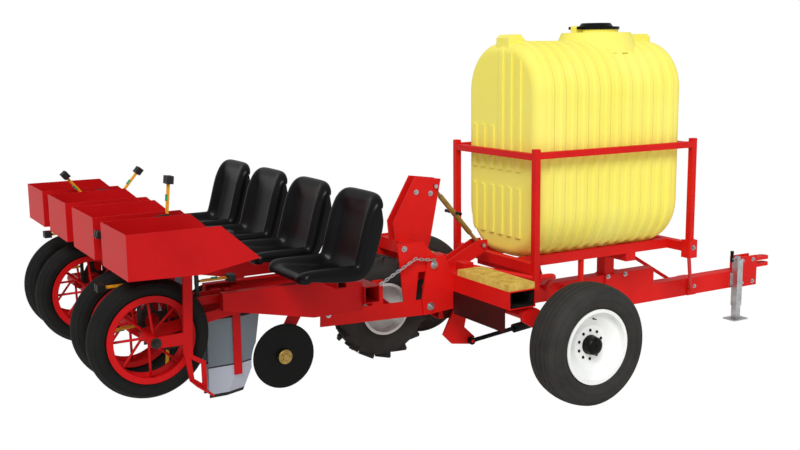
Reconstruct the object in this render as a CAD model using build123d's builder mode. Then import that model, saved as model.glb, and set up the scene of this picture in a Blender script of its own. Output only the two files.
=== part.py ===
from build123d import *
import math
import os

# A two-row bare root transplanter, carried raised behind its own water-tank cart.
# Millimetres. +X points to the hitch, +Z up, and Y = 0 is the machine's centre plane.
# Z = 0 is the ground under the cart tyres and the jack's foot.

os.makedirs("parts", exist_ok=True)

# Reach of the machine to either side of the cart's axle
FRONT_REACH = 2830
PACK_BACK = 2700
PACK_R = 317.5
AXLE_X = (PACK_BACK + PACK_R - FRONT_REACH) / 2

# Front hitch, from the clevis jaws back to the drawbar's end
JAW_HALF_W = 45
JAW_REACH = 125
HITCH_PLATE_L = 210
HITCH_BORE_X = AXLE_X + FRONT_REACH - JAW_HALF_W
CLEVIS_X = HITCH_BORE_X - JAW_REACH
DRAWBAR_FRONT = CLEVIS_X - HITCH_PLATE_L
CLEVIS_HALF_W = 35
CLEVIS_TAIL = 120
JAW_TOP = 475
JAW_T = 25
JAW_GAP = 30
JAW_LOW = JAW_TOP - 2 * JAW_T - JAW_GAP
HITCH_BORE_R = 16.5

# Clearances
PIN_GAP = 0.3
PLATE_GAP = 2
SLIDE_GAP = 0.5

# Thickness of the tyres' casings
CASING = 14
BEAD_STEP = 2

# Cart wheels
CART_R = 390
CART_HALF_W = 130
CART_Y = 1030
CART_BEAD_R = 228
CART_FLANGE_R = 240
CART_RIM_HALF_W = 96
RIM_WALL = 10
SPINDLE_R = 25
CART_HUB_R = 60
CART_TREAD_HALF_W = 96
CART_CROWN = 14
GROOVE = 10
GROOVES = (-58, -20, 20, 58)
AXLE_Z = CART_R

# Cart chassis: toolbar across, centre beam along, drawbar clamped under the beam
TOOLBAR_X = AXLE_X - 375
TOOLBAR_W = 200
TOOLBAR_H = 115
TOOLBAR_LOW = 630
TOOLBAR_HALF = 860
TOOLBAR_WALL = 6
SKIRT_LOW = 475
SKIRT_END = 60
TOOLBAR_TOP = TOOLBAR_LOW + TOOLBAR_H
TUBE_WALL = 6
BEAM_W = 100
DRAWBAR_LOW = 260
DRAWBAR_H = 138
BEAM_LOW = DRAWBAR_LOW + DRAWBAR_H
BEAM_H = 130
BEAM_TOP = BEAM_LOW + BEAM_H
BEAM_REAR = TOOLBAR_X - TOOLBAR_W / 2
BEAM_FRONT = AXLE_X + 1500
DRAWBAR_REAR = AXLE_X + 900
CLAMP_X = AXLE_X + 1110
CLAMP_L = 220
PLATE = 12
PLANK_H = 40
PLANK_FROM = 280
PLANK_END = 10

# Rockshaft axle that lifts the cart on its wheels
SHAFT_R = 44
SHAFT_X = AXLE_X - 300
SHAFT_Z = 576
ARM_Y = 820
ARM_T = 40
BEARING_Y = 560
CRANK_Y = BEAM_W / 2 + PLATE + PLATE_GAP + 10
CRANK_T = 20
CRANK_X = AXLE_X - 245
CRANK_Z = 222
LIFT_PIN_R = 12
LIFT_Y = CRANK_Y + 32
LIFT_ANCHOR_X = AXLE_X + 650
LIFT_ANCHOR_Z = 312
LIFT_EYE = 26

# Tank, its cradle and the tube guard round it
GUARD_TUBE = 60
POST_Y = 472
GUARD_Z = 1521
POST_CAP = 45
REAR_POST_LOW = 620
FRONT_POST_LOW = 700
SLEEVE = 80
SLEEVE_H = 120
SLEEVE_FLOOR = 12
STRUT_R = 14
STRUT_FOOT = (AXLE_X + 1905, 300)
STRUT_PAD = 45
BRACE_R = 17
PIPE_R = 21
PIPE_BEND = 130
PIPE_Z = 480
PIPE_DROP_X = AXLE_X + 600
PIPE_RUN_X = AXLE_X + 180
PIPE_FOOT_X = AXLE_X + 470
RAIL_Y = 250
RAIL_W = 50
RAIL_LOW = 730
RAIL_H = 70
RAIL_TOP = RAIL_LOW + RAIL_H
SUPPORT = 90
SUPPORT_FRONT = AXLE_X + 1050
SUPPORT_REAR = AXLE_X + 110
TANK_REAR = AXLE_X + 70
TANK_L = 1316
TANK_CLEAR = 21
POST_REAR = TANK_REAR - TANK_CLEAR - GUARD_TUBE / 2
POST_FRONT = TANK_REAR + TANK_L + TANK_CLEAR + GUARD_TUBE / 2
TANK_HALF_W = 424
TANK_TOP = 2270
TANK_ROUND = 350
TANK_END_ROUND = 70
TANK_RIB = 12
TANK_RIBS = 12
RIB_SLOPE = 16
RIB_ROOT = 1
END_RIB_W = 46
END_RIB_LOW = (930, 1270)
END_RIB_FOOT = 1390
# Rib places across the tank's ends, and how high the upper ribs reach
END_RIBS = ((-215, 2146), (-110, 2190), (-10, 2232), (95, 1690), (205, 1690), (305, 1690))
LUG_L = 160
LUG_HALF_W = 70
LUG_H = 45
BOSS_R = 247
BOSS_H = 55
BOSS_DEPTH = 90
BOSS_FLARE = 60
NECK_X = AXLE_X + 912
NECK_R = 160
NECK_WALL = 18
NECK_H = 22
LID_R = 168
LID_FLANGE = 20
LID_DOME_R = 104
LID_H = 46
LID_HINGE_R = 8
EAR_REACH = 24
EAR_HALF_W = 30
LID_ARM = 16

# Hitch: cart plates, lift frame with its mast, top link and check chains
FRAME_Y = 206
FRAME_T = 12
HITCH_T = 15
HITCH_Y = FRAME_Y + FRAME_T / 2 + PLATE_GAP + HITCH_T / 2
PIN_R = 16
LOW_PIN = (AXLE_X - 655, 550)
HIGH_PIN = (AXLE_X - 625, 825)
TOP_PIN_R = 14
MAST_PIN = (AXLE_X - 500, 1318)
LINK_PIN = (AXLE_X - 111, 875)
UPRIGHT_TOP = 985
MAST_TUBE = 80
MAST_TUBE_X = AXLE_X - 760
MAST_TUBE_LOW = 895
LUG_Y = 40
LINK_R = 18
CHECK_LINK = 36
CHECK_BAR = 6
CHECK_W = 20
CHECK_PITCH = CHECK_LINK - 2 * CHECK_BAR
CHECK_BOLT_R = CHECK_W / 2 - CHECK_BAR - PIN_GAP

# Jack at the side of the drawbar
JACK_X = DRAWBAR_FRONT - 64
JACK_TUBE = 60
JACK_WALL = 4
JACK_LOW = 115
JACK_TOP = 500
JACK_MOUNT = 10
JACK_Y = -(BEAM_W / 2 + JACK_MOUNT + JACK_TUBE / 2)
JACK_LEG = JACK_TUBE - 2 * JACK_WALL - 2 * SLIDE_GAP
FOOT_T = 10
FOOT_L = 160
FOOT_W = 120

# Transplanter: rows, toolbar and row beams
ROW_Y = 616
SEAT_OFFSET = 308
PLANT_BAR_X = AXLE_X - 1400
PLANT_BAR = 100
PLANT_BAR_LOW = 790
PLANT_BAR_HALF = 800
PLANT_BAR_TOP = PLANT_BAR_LOW + PLANT_BAR
BEAM_OFFSET = 135
ROW_BEAM_W = 50
ROW_BEAM_REAR = AXLE_X - 2290
ROW_BEAM_TOP = 955
ROW_BEAM_TAIL_LOW = 860
ROW_BEAM_LOW = 750
ROW_BEAM_KNEE = AXLE_X - 1760

# Seats and trays
SEAT_W = 480
SEAT_SIDE = 10
SEAT_LOW = 1015
SEAT_BACK_H = 450
SEAT_CORNER = 26
SEAT_FLANK = 20
SEAT_HEAD_ROUND = 120
SEAT_TRIM = 2
SEAT_SCOOP_ROUND = 45
SEAT_SCOOP_FLANK = 30
SEAT_X = AXLE_X - 1700
SEAT_BAR_W = 60
SEAT_BAR_H = 40
TRAY_W = 456
TRAY_SHEET = 2.5
TRAY_REAR = AXLE_X - 2888
TRAY_TOP = 1387
TRAY_LOW = 1164
TRAY_KNEE = (AXLE_X - 2518, 1156)
TRAY_NOSE = (AXLE_X - 2219, 1207)
TRAY_BROW_X = AXLE_X - 2421

# Packing wheels and what carries them
PACK_X = AXLE_X - PACK_BACK
PACK_Z = 780
PACK_OFFSET = 170
PACK_HALF_W = 62
PACK_TREAD_HALF_W = 34
PACK_CROWN = 14
PACK_BEAD_R = 222
PACK_FLANGE_R = 230
PACK_RIM_HALF_W = 48
PACK_LIP_R = 196
PACK_RIM_WALL = 5
PACK_HUB_R = 30
PACK_AXLE_R = 14
PACK_SPOKES = 8
SPOKE_R = 7
PACK_ARM_Y = 95
PACK_ARM_T = 10
LEG_Y = 287
LEG_X = AXLE_X - 2535
LEG_W = 50
LEG_LOW = 700
ARM_ROOT = (145, 195)
ARM_EYE_R = 36
REST_W = 100
REST_OUTSIDE = (
    (LEG_X - 25, LEG_LOW + 20),
    (LEG_X + 92, LEG_LOW - 55),
    (LEG_X + 94, LEG_LOW - 220),
    (LEG_X + 3, LEG_LOW - 150),
)
REST_WINDOW = (
    (LEG_X + 14, LEG_LOW - 32),
    (LEG_X + 68, LEG_LOW - 67),
    (LEG_X + 69, LEG_LOW - 172),
    (LEG_X + 26, LEG_LOW - 139),
)

# Gripper chains
CHAIN_X = AXLE_X - 2536
CHAIN_TOP_Z = 1212
CHAIN_LOW_Z = 825
CHAIN_R = 160
CHAIN_T = 12
CHAIN_W = 12
CHAIN_LINKS = 44
LINK_T = 3
LINK_H = 18
LINK_LAP = 8
GRIPPERS = 8
GRIPPER_TIP = 375
GRIPPER_BAR = 30
GRIPPER_BAR_T = 8
GRIP_W = 60
GRIP_L = 42
GRIP_T = 38
GRIP_BASE = 12
GRIP_GAP = 14
GRIPPER_ROD_R = 4
GRIPPER_ROD_FOOT = 30
SPROCKET_R = CHAIN_R - CHAIN_T / 2
SPROCKET_SHAFT_R = 15
SPROCKET_T = 10
SPROCKET_WINDOWS = 6
SPROCKET_WINDOW_R = 38
CARRIER_Y = 56
CARRIER_T = 10

# Shoes and coulters
SHOE_HALF_W = 48
SHOE_WALL = 5
SHOE_LOW = 355
SHOE_TOP = 790
SHOE_REAR = AXLE_X - 2345
SHOE_NOSE = AXLE_X - 2025
# Heights at which the shoe's nose is set back, and by how much
SHOE_RAKE = ((SHOE_LOW, 111), (506, 43), (SHOE_TOP, 0))
COULTER_X = AXLE_X - 1880
COULTER_Z = 508
COULTER_R = 188
COULTER_T = 6
COULTER_HUB_R = 42
COULTER_PIN_R = 14
COULTER_CLEAR = 15

# Drive wheel between the lift frame's sides
DRIVE_X = AXLE_X - 920
DRIVE_Z = 540
DRIVE_R = 338
DRIVE_LUG = 16
DRIVE_LUG_L = 105
DRIVE_LUG_W = 24
DRIVE_LUG_Y = 48
DRIVE_LUG_LEAN = 38
DRIVE_HALF_W = 118
DRIVE_TREAD_HALF_W = 84
DRIVE_CROWN = 16
DRIVE_BEAD_R = 165
DRIVE_FLANGE_R = 173
DRIVE_RIM_HALF_W = 93
DRIVE_LUGS = 16
DRIVE_AXLE_R = 16
DRIVE_ARM_Y = 148

SIDES = {"right": -1, "left": 1}
UP = (Align.CENTER, Align.CENTER, Align.MIN)
TRAY_YS = [row * ROW_Y + side * SEAT_OFFSET for row in (-1, 1) for side in (-1, 1)]


def side_plane(y):
    """The X-Z plane at a given Y: sketch x is X and sketch y is Z."""
    return Plane((0, y, 0), x_dir=(1, 0, 0), z_dir=(0, -1, 0))


def slab(y, thickness, points, mode=Mode.ADD):
    """A plate with a polygon for its side outline, centred on the given Y."""
    with BuildSketch(side_plane(y)) as outline:
        with BuildLine():
            Polyline(*points, close=True)
        make_face()
    extrude(outline.sketch, amount=thickness / 2, both=True, mode=mode)


def bar(x_span, y_span, z_span, mode=Mode.ADD):
    """A box given by its two ends on each axis."""
    spans = (x_span, y_span, z_span)
    with Locations(Vector(*[sum(span) / 2 for span in spans])):
        Box(*[abs(span[1] - span[0]) for span in spans], mode=mode)


def rod(start, end, radius, mode=Mode.ADD):
    """A round bar from one point to another."""
    run = Vector(*end) - Vector(*start)
    with BuildSketch(Plane(start, z_dir=run)) as section:
        Circle(radius)
    extrude(section.sketch, amount=run.length, mode=mode)


def cross_pin(place, y_span, radius, mode=Mode.ADD):
    """A round bar or bore along Y at an (x, z) place."""
    rod((place[0], y_span[0], place[1]), (place[0], y_span[1], place[1]), radius, mode)


def turned(centre, points, mode=Mode.ADD):
    """A ring turned about the Y axis through its centre, from (radius, width) points."""
    with BuildSketch(Plane(centre, x_dir=(1, 0, 0), z_dir=(0, 0, 1))) as profile:
        with BuildLine():
            Polyline(*points, close=True)
        make_face()
    revolve(profile.sketch, axis=Axis(centre, (0, 1, 0)), mode=mode)


def tyre(centre, radius, half_w, bead_r, seat_r, rim_half_w, tread_half_w, crown):
    """A tyre about Y, hollowed to its casing: straight beads, round side walls, crowned tread."""
    wall_r = (seat_r + radius) / 2
    for inset, mode in ((0, Mode.ADD), (CASING, Mode.SUBTRACT)):
        bead_w = rim_half_w - inset
        tread_w = tread_half_w - inset
        edge_r = radius - crown - inset
        bead = bead_r - BEAD_STEP if inset else bead_r
        with BuildSketch(Plane(centre, x_dir=(1, 0, 0), z_dir=(0, 0, 1))) as section:
            with BuildLine():
                Polyline((seat_r, -bead_w), (bead, -bead_w), (bead, bead_w), (seat_r, bead_w))
                for side in (-1, 1):
                    ThreePointArc(
                        (seat_r, side * bead_w),
                        (wall_r, side * (half_w - inset)),
                        (edge_r, side * tread_w),
                    )
                ThreePointArc((edge_r, -tread_w), (radius - inset, 0), (edge_r, tread_w))
            make_face()
        revolve(section.sketch, axis=Axis(centre, (0, 1, 0)), mode=mode)


def around(centre, radius, angle, y=0):
    """A point on a circle about the Y axis; the angle is in degrees from +X towards +Z."""
    turn = math.radians(angle)
    return (
        centre[0] + radius * math.cos(turn),
        centre[1] + y,
        centre[2] + radius * math.sin(turn),
    )


def save(builder, name):
    """Label a finished piece and write it."""
    builder.part.label = name
    export_step(builder.part, f"parts/{name}.step")


# Cart chassis

with BuildPart() as drawbar:
    bar((DRAWBAR_REAR, DRAWBAR_FRONT), (-BEAM_W / 2, BEAM_W / 2), (DRAWBAR_LOW, BEAM_LOW))
    bar(
        (DRAWBAR_REAR, DRAWBAR_FRONT),
        (-BEAM_W / 2 + TUBE_WALL, BEAM_W / 2 - TUBE_WALL),
        (DRAWBAR_LOW + TUBE_WALL, BEAM_LOW - TUBE_WALL),
        mode=Mode.SUBTRACT,
    )
save(drawbar, "drawbar")

with BuildPart() as centre_beam:
    bar((BEAM_REAR, BEAM_FRONT), (-BEAM_W / 2, BEAM_W / 2), (BEAM_LOW, BEAM_TOP))
    bar(
        (BEAM_REAR, BEAM_FRONT),
        (-BEAM_W / 2 + TUBE_WALL, BEAM_W / 2 - TUBE_WALL),
        (BEAM_LOW + TUBE_WALL, BEAM_TOP - TUBE_WALL),
        mode=Mode.SUBTRACT,
    )
    # Ear on the beam's right side for the lift cylinder's front pin
    slab(
        -(BEAM_W / 2 + PLATE / 2),
        PLATE,
        [
            (LIFT_ANCHOR_X - 40, LIFT_ANCHOR_Z - 35),
            (LIFT_ANCHOR_X + 40, LIFT_ANCHOR_Z - 35),
            (LIFT_ANCHOR_X + 70, BEAM_LOW + 60),
            (LIFT_ANCHOR_X - 70, BEAM_LOW + 60),
        ],
    )
    cross_pin(
        (LIFT_ANCHOR_X, LIFT_ANCHOR_Z),
        (-(BEAM_W / 2 + PLATE), -(LIFT_Y + LIFT_EYE / 2 + 6)),
        LIFT_PIN_R,
    )
save(centre_beam, "centre_beam")

with BuildPart() as beam_clamp:
    for side in SIDES.values():
        bar(
            (CLAMP_X - CLAMP_L / 2, CLAMP_X + CLAMP_L / 2),
            (side * BEAM_W / 2, side * (BEAM_W / 2 + PLATE)),
            (DRAWBAR_LOW - PLATE, BEAM_TOP),
        )
save(beam_clamp, "beam_clamp")

with BuildPart() as toolbar:
    toolbar_x = (TOOLBAR_X - TOOLBAR_W / 2, TOOLBAR_X + TOOLBAR_W / 2)
    bar(toolbar_x, (-TOOLBAR_HALF, TOOLBAR_HALF), (TOOLBAR_LOW, TOOLBAR_TOP))
    bar(
        (toolbar_x[0] + TOOLBAR_WALL, toolbar_x[1] - TOOLBAR_WALL),
        (-TOOLBAR_HALF, TOOLBAR_HALF),
        (TOOLBAR_LOW + TOOLBAR_WALL, TOOLBAR_TOP - TOOLBAR_WALL),
        mode=Mode.SUBTRACT,
    )
save(toolbar, "toolbar")

with BuildPart() as step_planks:
    for side in SIDES.values():
        plank_y = (side * PLANK_FROM, side * (TOOLBAR_HALF - PLANK_END))
        bar(toolbar_x, plank_y, (TOOLBAR_TOP, TOOLBAR_TOP + PLANK_H))
save(step_planks, "step_planks")

# Plates that hang the beam and the rockshaft under the toolbar
with BuildPart() as toolbar_brackets:
    for y, low in ((BEAM_W / 2 + PLATE / 2, BEAM_LOW), (BEARING_Y, SHAFT_Z - 90)):
        for side in SIDES.values():
            slab(
                side * y,
                PLATE,
                [
                    (toolbar_x[0], TOOLBAR_LOW),
                    (toolbar_x[0] + 40, low),
                    (toolbar_x[1] - 40, low),
                    (toolbar_x[1], TOOLBAR_LOW),
                ],
            )
    # Skirt plates under the toolbar's rear edge, outside the hitch plates
    for side in SIDES.values():
        bar(
            (toolbar_x[0], toolbar_x[0] + PLATE),
            (side * (HITCH_Y + HITCH_T), side * (TOOLBAR_HALF - SKIRT_END)),
            (SKIRT_LOW, TOOLBAR_LOW),
        )
    cross_pin(
        (SHAFT_X, SHAFT_Z), (-TOOLBAR_HALF, TOOLBAR_HALF), SHAFT_R + PIN_GAP, mode=Mode.SUBTRACT
    )
save(toolbar_brackets, "toolbar_brackets")

with BuildPart() as axle:
    cross_pin((SHAFT_X, SHAFT_Z), (-ARM_Y, ARM_Y), SHAFT_R)
    for side in SIDES.values():
        slab(
            side * ARM_Y,
            ARM_T,
            [
                (SHAFT_X - 55, SHAFT_Z + 20),
                (SHAFT_X, SHAFT_Z + 50),
                (SHAFT_X + 50, SHAFT_Z + 35),
                (AXLE_X + 45, AXLE_Z + 35),
                (AXLE_X + 45, AXLE_Z - 40),
                (AXLE_X - 35, AXLE_Z - 45),
                (SHAFT_X - 45, SHAFT_Z - 45),
            ],
        )
        cross_pin((AXLE_X, AXLE_Z), (side * ARM_Y, side * (CART_Y + 30)), SPINDLE_R)
save(axle, "axle")

with BuildPart() as lift_crank:
    slab(
        -CRANK_Y,
        CRANK_T,
        [
            (SHAFT_X - 60, SHAFT_Z + 45),
            (SHAFT_X + 60, SHAFT_Z + 45),
            (SHAFT_X + 50, SHAFT_Z - 70),
            (CRANK_X - 45, CRANK_Z + 100),
            (CRANK_X + 40, CRANK_Z + 20),
            (CRANK_X + 25, CRANK_Z - 32),
            (CRANK_X - 145, CRANK_Z - 5),
            (CRANK_X - 217, CRANK_Z + 67),
            (SHAFT_X - 64, SHAFT_Z - 97),
        ],
    )
    cross_pin((SHAFT_X, SHAFT_Z), (-TOOLBAR_HALF, 0), SHAFT_R + PIN_GAP, mode=Mode.SUBTRACT)
    cross_pin((CRANK_X, CRANK_Z), (-CRANK_Y, -(LIFT_Y + LIFT_EYE / 2 + 6)), LIFT_PIN_R)
save(lift_crank, "lift_crank")

with BuildPart() as lift_cylinder:
    crank_end = Vector(CRANK_X, -LIFT_Y, CRANK_Z)
    anchor_end = Vector(LIFT_ANCHOR_X, -LIFT_Y, LIFT_ANCHOR_Z)
    barrel_end = crank_end + (anchor_end - crank_end) * 0.4
    rod(crank_end, anchor_end, 15)
    rod(barrel_end, crank_end + (anchor_end - crank_end) * 0.94, 32)
    for eye in (crank_end, anchor_end):
        eye_span = (-LIFT_Y - LIFT_EYE / 2, -LIFT_Y + LIFT_EYE / 2)
        cross_pin((eye.X, eye.Z), eye_span, 26)
    for eye in (crank_end, anchor_end):
        cross_pin(
            (eye.X, eye.Z),
            (-LIFT_Y - LIFT_EYE, -LIFT_Y + LIFT_EYE),
            LIFT_PIN_R + PIN_GAP,
            mode=Mode.SUBTRACT,
        )
save(lift_cylinder, "lift_cylinder")

# Cart wheels

for name, side in SIDES.items():
    hub = (AXLE_X, side * CART_Y, AXLE_Z)
    with BuildPart() as cart_tyre:
        tyre(
            hub,
            CART_R,
            CART_HALF_W,
            CART_BEAD_R,
            CART_FLANGE_R + PLATE_GAP,
            CART_RIM_HALF_W,
            CART_TREAD_HALF_W,
            CART_CROWN,
        )
        for groove in GROOVES:
            turned(
                hub,
                [
                    (CART_R - GROOVE, groove - GROOVE / 4),
                    (CART_R + GROOVE, groove - GROOVE),
                    (CART_R + GROOVE, groove + GROOVE),
                    (CART_R - GROOVE, groove + GROOVE / 4),
                ],
                mode=Mode.SUBTRACT,
            )
    save(cart_tyre, f"cart_tyre_{name}")

    with BuildPart() as cart_rim:
        barrel_r = CART_BEAD_R - RIM_WALL
        turned(
            hub,
            [
                (barrel_r, -CART_RIM_HALF_W - RIM_WALL),
                (CART_FLANGE_R, -CART_RIM_HALF_W - RIM_WALL),
                (CART_FLANGE_R, -CART_RIM_HALF_W - 3),
                (CART_BEAD_R, -CART_RIM_HALF_W),
                (CART_BEAD_R, CART_RIM_HALF_W),
                (CART_FLANGE_R, CART_RIM_HALF_W + 3),
                (CART_FLANGE_R, CART_RIM_HALF_W + RIM_WALL),
                (barrel_r, CART_RIM_HALF_W + RIM_WALL),
            ],
        )
        # Dished disc and the hub with its cap, on the outer side
        turned(
            hub,
            [
                (SPINDLE_R + PIN_GAP, -side * 70),
                (CART_HUB_R, -side * 70),
                (CART_HUB_R + 10, side * 20),
                (CART_HUB_R + 70, side * 20),
                (barrel_r - 40, side * 45),
                (barrel_r, side * 45),
                (barrel_r, side * (45 + RIM_WALL)),
                (barrel_r - 45, side * (45 + RIM_WALL)),
                (CART_HUB_R + 65, side * (20 + RIM_WALL)),
                (CART_HUB_R, side * (20 + RIM_WALL)),
                (CART_HUB_R - 6, side * 80),
                (CART_HUB_R - 25, side * 95),
                (0, side * 95),
                (0, side * 60),
                (SPINDLE_R + PIN_GAP, side * 60),
            ],
        )
    save(cart_rim, f"cart_rim_{name}")

# Tank guard and cradle

with BuildPart() as guard_posts:
    for x, low in ((POST_REAR, REAR_POST_LOW), (POST_FRONT, FRONT_POST_LOW)):
        for side in SIDES.values():
            bar(
                (x - GUARD_TUBE / 2, x + GUARD_TUBE / 2),
                (side * (POST_Y - GUARD_TUBE / 2), side * (POST_Y + GUARD_TUBE / 2)),
                (low, GUARD_Z + POST_CAP),
            )
    # Pipe braces from the toolbar's top to the feet of the rear posts
    for side in SIDES.values():
        foot = (TOOLBAR_X + 30, side * 170, TOOLBAR_TOP + 34)
        rod(foot, (POST_REAR, side * POST_Y, REAR_POST_LOW + 80), BRACE_R)
        bar(
            (foot[0] - 40, foot[0] + 40),
            (side * 120, side * 220),
            (TOOLBAR_TOP, TOOLBAR_TOP + 60),
        )
save(guard_posts, "guard_posts")

with BuildPart() as guard_rails:
    for side in SIDES.values():
        bar(
            (POST_REAR + GUARD_TUBE / 2, POST_FRONT - GUARD_TUBE / 2),
            (side * (POST_Y - GUARD_TUBE / 2), side * (POST_Y + GUARD_TUBE / 2)),
            (GUARD_Z - GUARD_TUBE / 2, GUARD_Z + GUARD_TUBE / 2),
        )
save(guard_rails, "guard_rails")

# End tubes between the posts, at the guard's top and under the tank's ends
with BuildPart() as guard_ends:
    for x in (POST_REAR, POST_FRONT):
        for low, high in (
            (GUARD_Z - GUARD_TUBE / 2, GUARD_Z + GUARD_TUBE / 2),
            (RAIL_LOW, RAIL_TOP),
        ):
            bar(
                (x - GUARD_TUBE / 2, x + GUARD_TUBE / 2),
                (-POST_Y + GUARD_TUBE / 2, POST_Y - GUARD_TUBE / 2),
                (low, high),
            )
save(guard_ends, "guard_ends")

with BuildPart() as cradle_rails:
    for side in SIDES.values():
        bar(
            (POST_REAR + GUARD_TUBE / 2, POST_FRONT - GUARD_TUBE / 2),
            (side * (RAIL_Y - RAIL_W / 2), side * (RAIL_Y + RAIL_W / 2)),
            (RAIL_LOW, RAIL_TOP),
        )
save(cradle_rails, "cradle_rails")

# Short posts on the beam with a cross member each, under the rails
with BuildPart() as cradle_supports:
    for x in (SUPPORT_REAR, SUPPORT_FRONT):
        bar((x - SUPPORT / 2, x + SUPPORT / 2), (-SUPPORT / 2, SUPPORT / 2), (BEAM_TOP, RAIL_LOW))
        bar(
            (x - SUPPORT / 2, x + SUPPORT / 2),
            (-RAIL_Y - RAIL_W / 2, RAIL_Y + RAIL_W / 2),
            (RAIL_LOW - GUARD_TUBE, RAIL_LOW),
        )
save(cradle_supports, "cradle_supports")

# Sleeves under the front posts, each with a strut down to a pad on the drawbar
with BuildPart() as front_struts:
    for side in SIDES.values():
        sleeve_x = (POST_FRONT - SLEEVE / 2, POST_FRONT + SLEEVE / 2)
        sleeve_y = (side * (POST_Y - SLEEVE / 2), side * (POST_Y + SLEEVE / 2))
        bar(sleeve_x, sleeve_y, (FRONT_POST_LOW - SLEEVE_FLOOR, FRONT_POST_LOW + SLEEVE_H))
        strut_foot = (STRUT_FOOT[0], side * BEAM_W / 2, STRUT_FOOT[1])
        rod((POST_FRONT, side * POST_Y, FRONT_POST_LOW - SLEEVE_FLOOR / 2), strut_foot, STRUT_R)
        bar(
            (STRUT_FOOT[0] - STRUT_PAD, STRUT_FOOT[0] + STRUT_PAD),
            (side * BEAM_W / 2, side * (BEAM_W / 2 + PLATE)),
            (DRAWBAR_LOW, BEAM_LOW),
        )
    post = GUARD_TUBE / 2 + PIN_GAP
    for side in SIDES.values():
        bar(
            (POST_FRONT - post, POST_FRONT + post),
            (side * POST_Y - post, side * POST_Y + post),
            (FRONT_POST_LOW, FRONT_POST_LOW + 2 * SLEEVE_H),
            mode=Mode.SUBTRACT,
        )
    end_tube = POST_Y - GUARD_TUBE / 2
    bar(
        (POST_FRONT - post, POST_FRONT + post),
        (-end_tube, end_tube),
        (RAIL_LOW - PIN_GAP, RAIL_TOP + SLEEVE_H),
        mode=Mode.SUBTRACT,
    )
    bar(
        (DRAWBAR_REAR, DRAWBAR_FRONT),
        (-BEAM_W / 2, BEAM_W / 2),
        (DRAWBAR_LOW, BEAM_TOP),
        mode=Mode.SUBTRACT,
    )
save(front_struts, "front_struts")

# Bent pipes from the cradle rails and from the rear posts down to the centre beam's sides
with BuildPart() as cradle_pipes:
    for side in SIDES.values():
        drop = (
            (PIPE_DROP_X, side * RAIL_Y, RAIL_LOW),
            (PIPE_DROP_X, side * RAIL_Y, PIPE_Z),
            (PIPE_DROP_X, 0, PIPE_Z),
        )
        run = (
            (POST_REAR + GUARD_TUBE / 2, side * POST_Y, REAR_POST_LOW + 80),
            (PIPE_RUN_X, side * POST_Y, REAR_POST_LOW + 80),
            (PIPE_FOOT_X, 0, PIPE_Z),
        )
        for corners in (drop, run):
            with BuildLine() as route:
                FilletPolyline(*corners, radius=PIPE_BEND)
            start = Vector(*corners[0])
            with BuildSketch(Plane(start, z_dir=Vector(*corners[1]) - start)) as section:
                Circle(PIPE_R)
            sweep(section.sketch, path=route.line)
    bar(
        (BEAM_REAR, BEAM_FRONT),
        (-BEAM_W / 2, BEAM_W / 2),
        (DRAWBAR_LOW, RAIL_LOW),
        mode=Mode.SUBTRACT,
    )
save(cradle_pipes, "cradle_pipes")

# Tank: a rounded section along X, ribbed round its girth, on the inner edges of the rails
TANK_FLAT = TANK_HALF_W - TANK_ROUND
RAIL_INSET = RAIL_Y - RAIL_W / 2 - TANK_FLAT
TANK_LOW = RAIL_TOP + PIN_GAP - TANK_ROUND + math.sqrt(TANK_ROUND**2 - RAIL_INSET**2)
TANK_H = TANK_TOP - TANK_LOW


def tank_outline(x, inset):
    """The tank's rounded section at a place along X, drawn in by a given inset."""
    plane = Plane((x, 0, TANK_LOW + TANK_H / 2), x_dir=(0, 1, 0), z_dir=(1, 0, 0))
    with BuildSketch(plane) as section:
        RectangleRounded(2 * (TANK_HALF_W - inset), TANK_H - 2 * inset, TANK_ROUND - inset)
    return section.sketch


BOSS_TOP = TANK_TOP + BOSS_H
TANK_FRONT = TANK_REAR + TANK_L
TANK_ENDS = ((TANK_REAR, 1), (TANK_FRONT, -1))
# Upright ribs on the tank's ends, cut from a slightly longer tank so that they follow its rounds
with BuildPart() as rib_bars:
    for end, inward in TANK_ENDS:
        rib_span = (end - inward * 2 * TANK_RIB, end + inward * TANK_END_ROUND)
        for y, top in END_RIBS:
            for low, high in (END_RIB_LOW, (END_RIB_FOOT, top)):
                bar(rib_span, (y - END_RIB_W / 2, y + END_RIB_W / 2), (low, high))
with BuildPart() as end_ribs:
    extrude(tank_outline(TANK_REAR - TANK_RIB, TANK_RIB), amount=TANK_L + 2 * TANK_RIB)
    end_edges = end_ribs.edges().group_by(Axis.X)
    fillet(end_edges[0] + end_edges[-1], TANK_END_ROUND)
    add(rib_bars.part, mode=Mode.INTERSECT)

# One girth rib with sloped flanks, about X = 0
RIB_PITCH = (TANK_L - 2 * TANK_END_ROUND) / TANK_RIBS
RIB_HALF_W = 0.31 * RIB_PITCH
RIB_FLANKS = (
    (-RIB_HALF_W, TANK_RIB + RIB_ROOT),
    (RIB_SLOPE - RIB_HALF_W, 0),
    (RIB_HALF_W - RIB_SLOPE, 0),
    (RIB_HALF_W, TANK_RIB + RIB_ROOT),
)
with BuildPart() as girth_rib:
    loft([tank_outline(x, inset) for x, inset in RIB_FLANKS], ruled=True)

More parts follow.
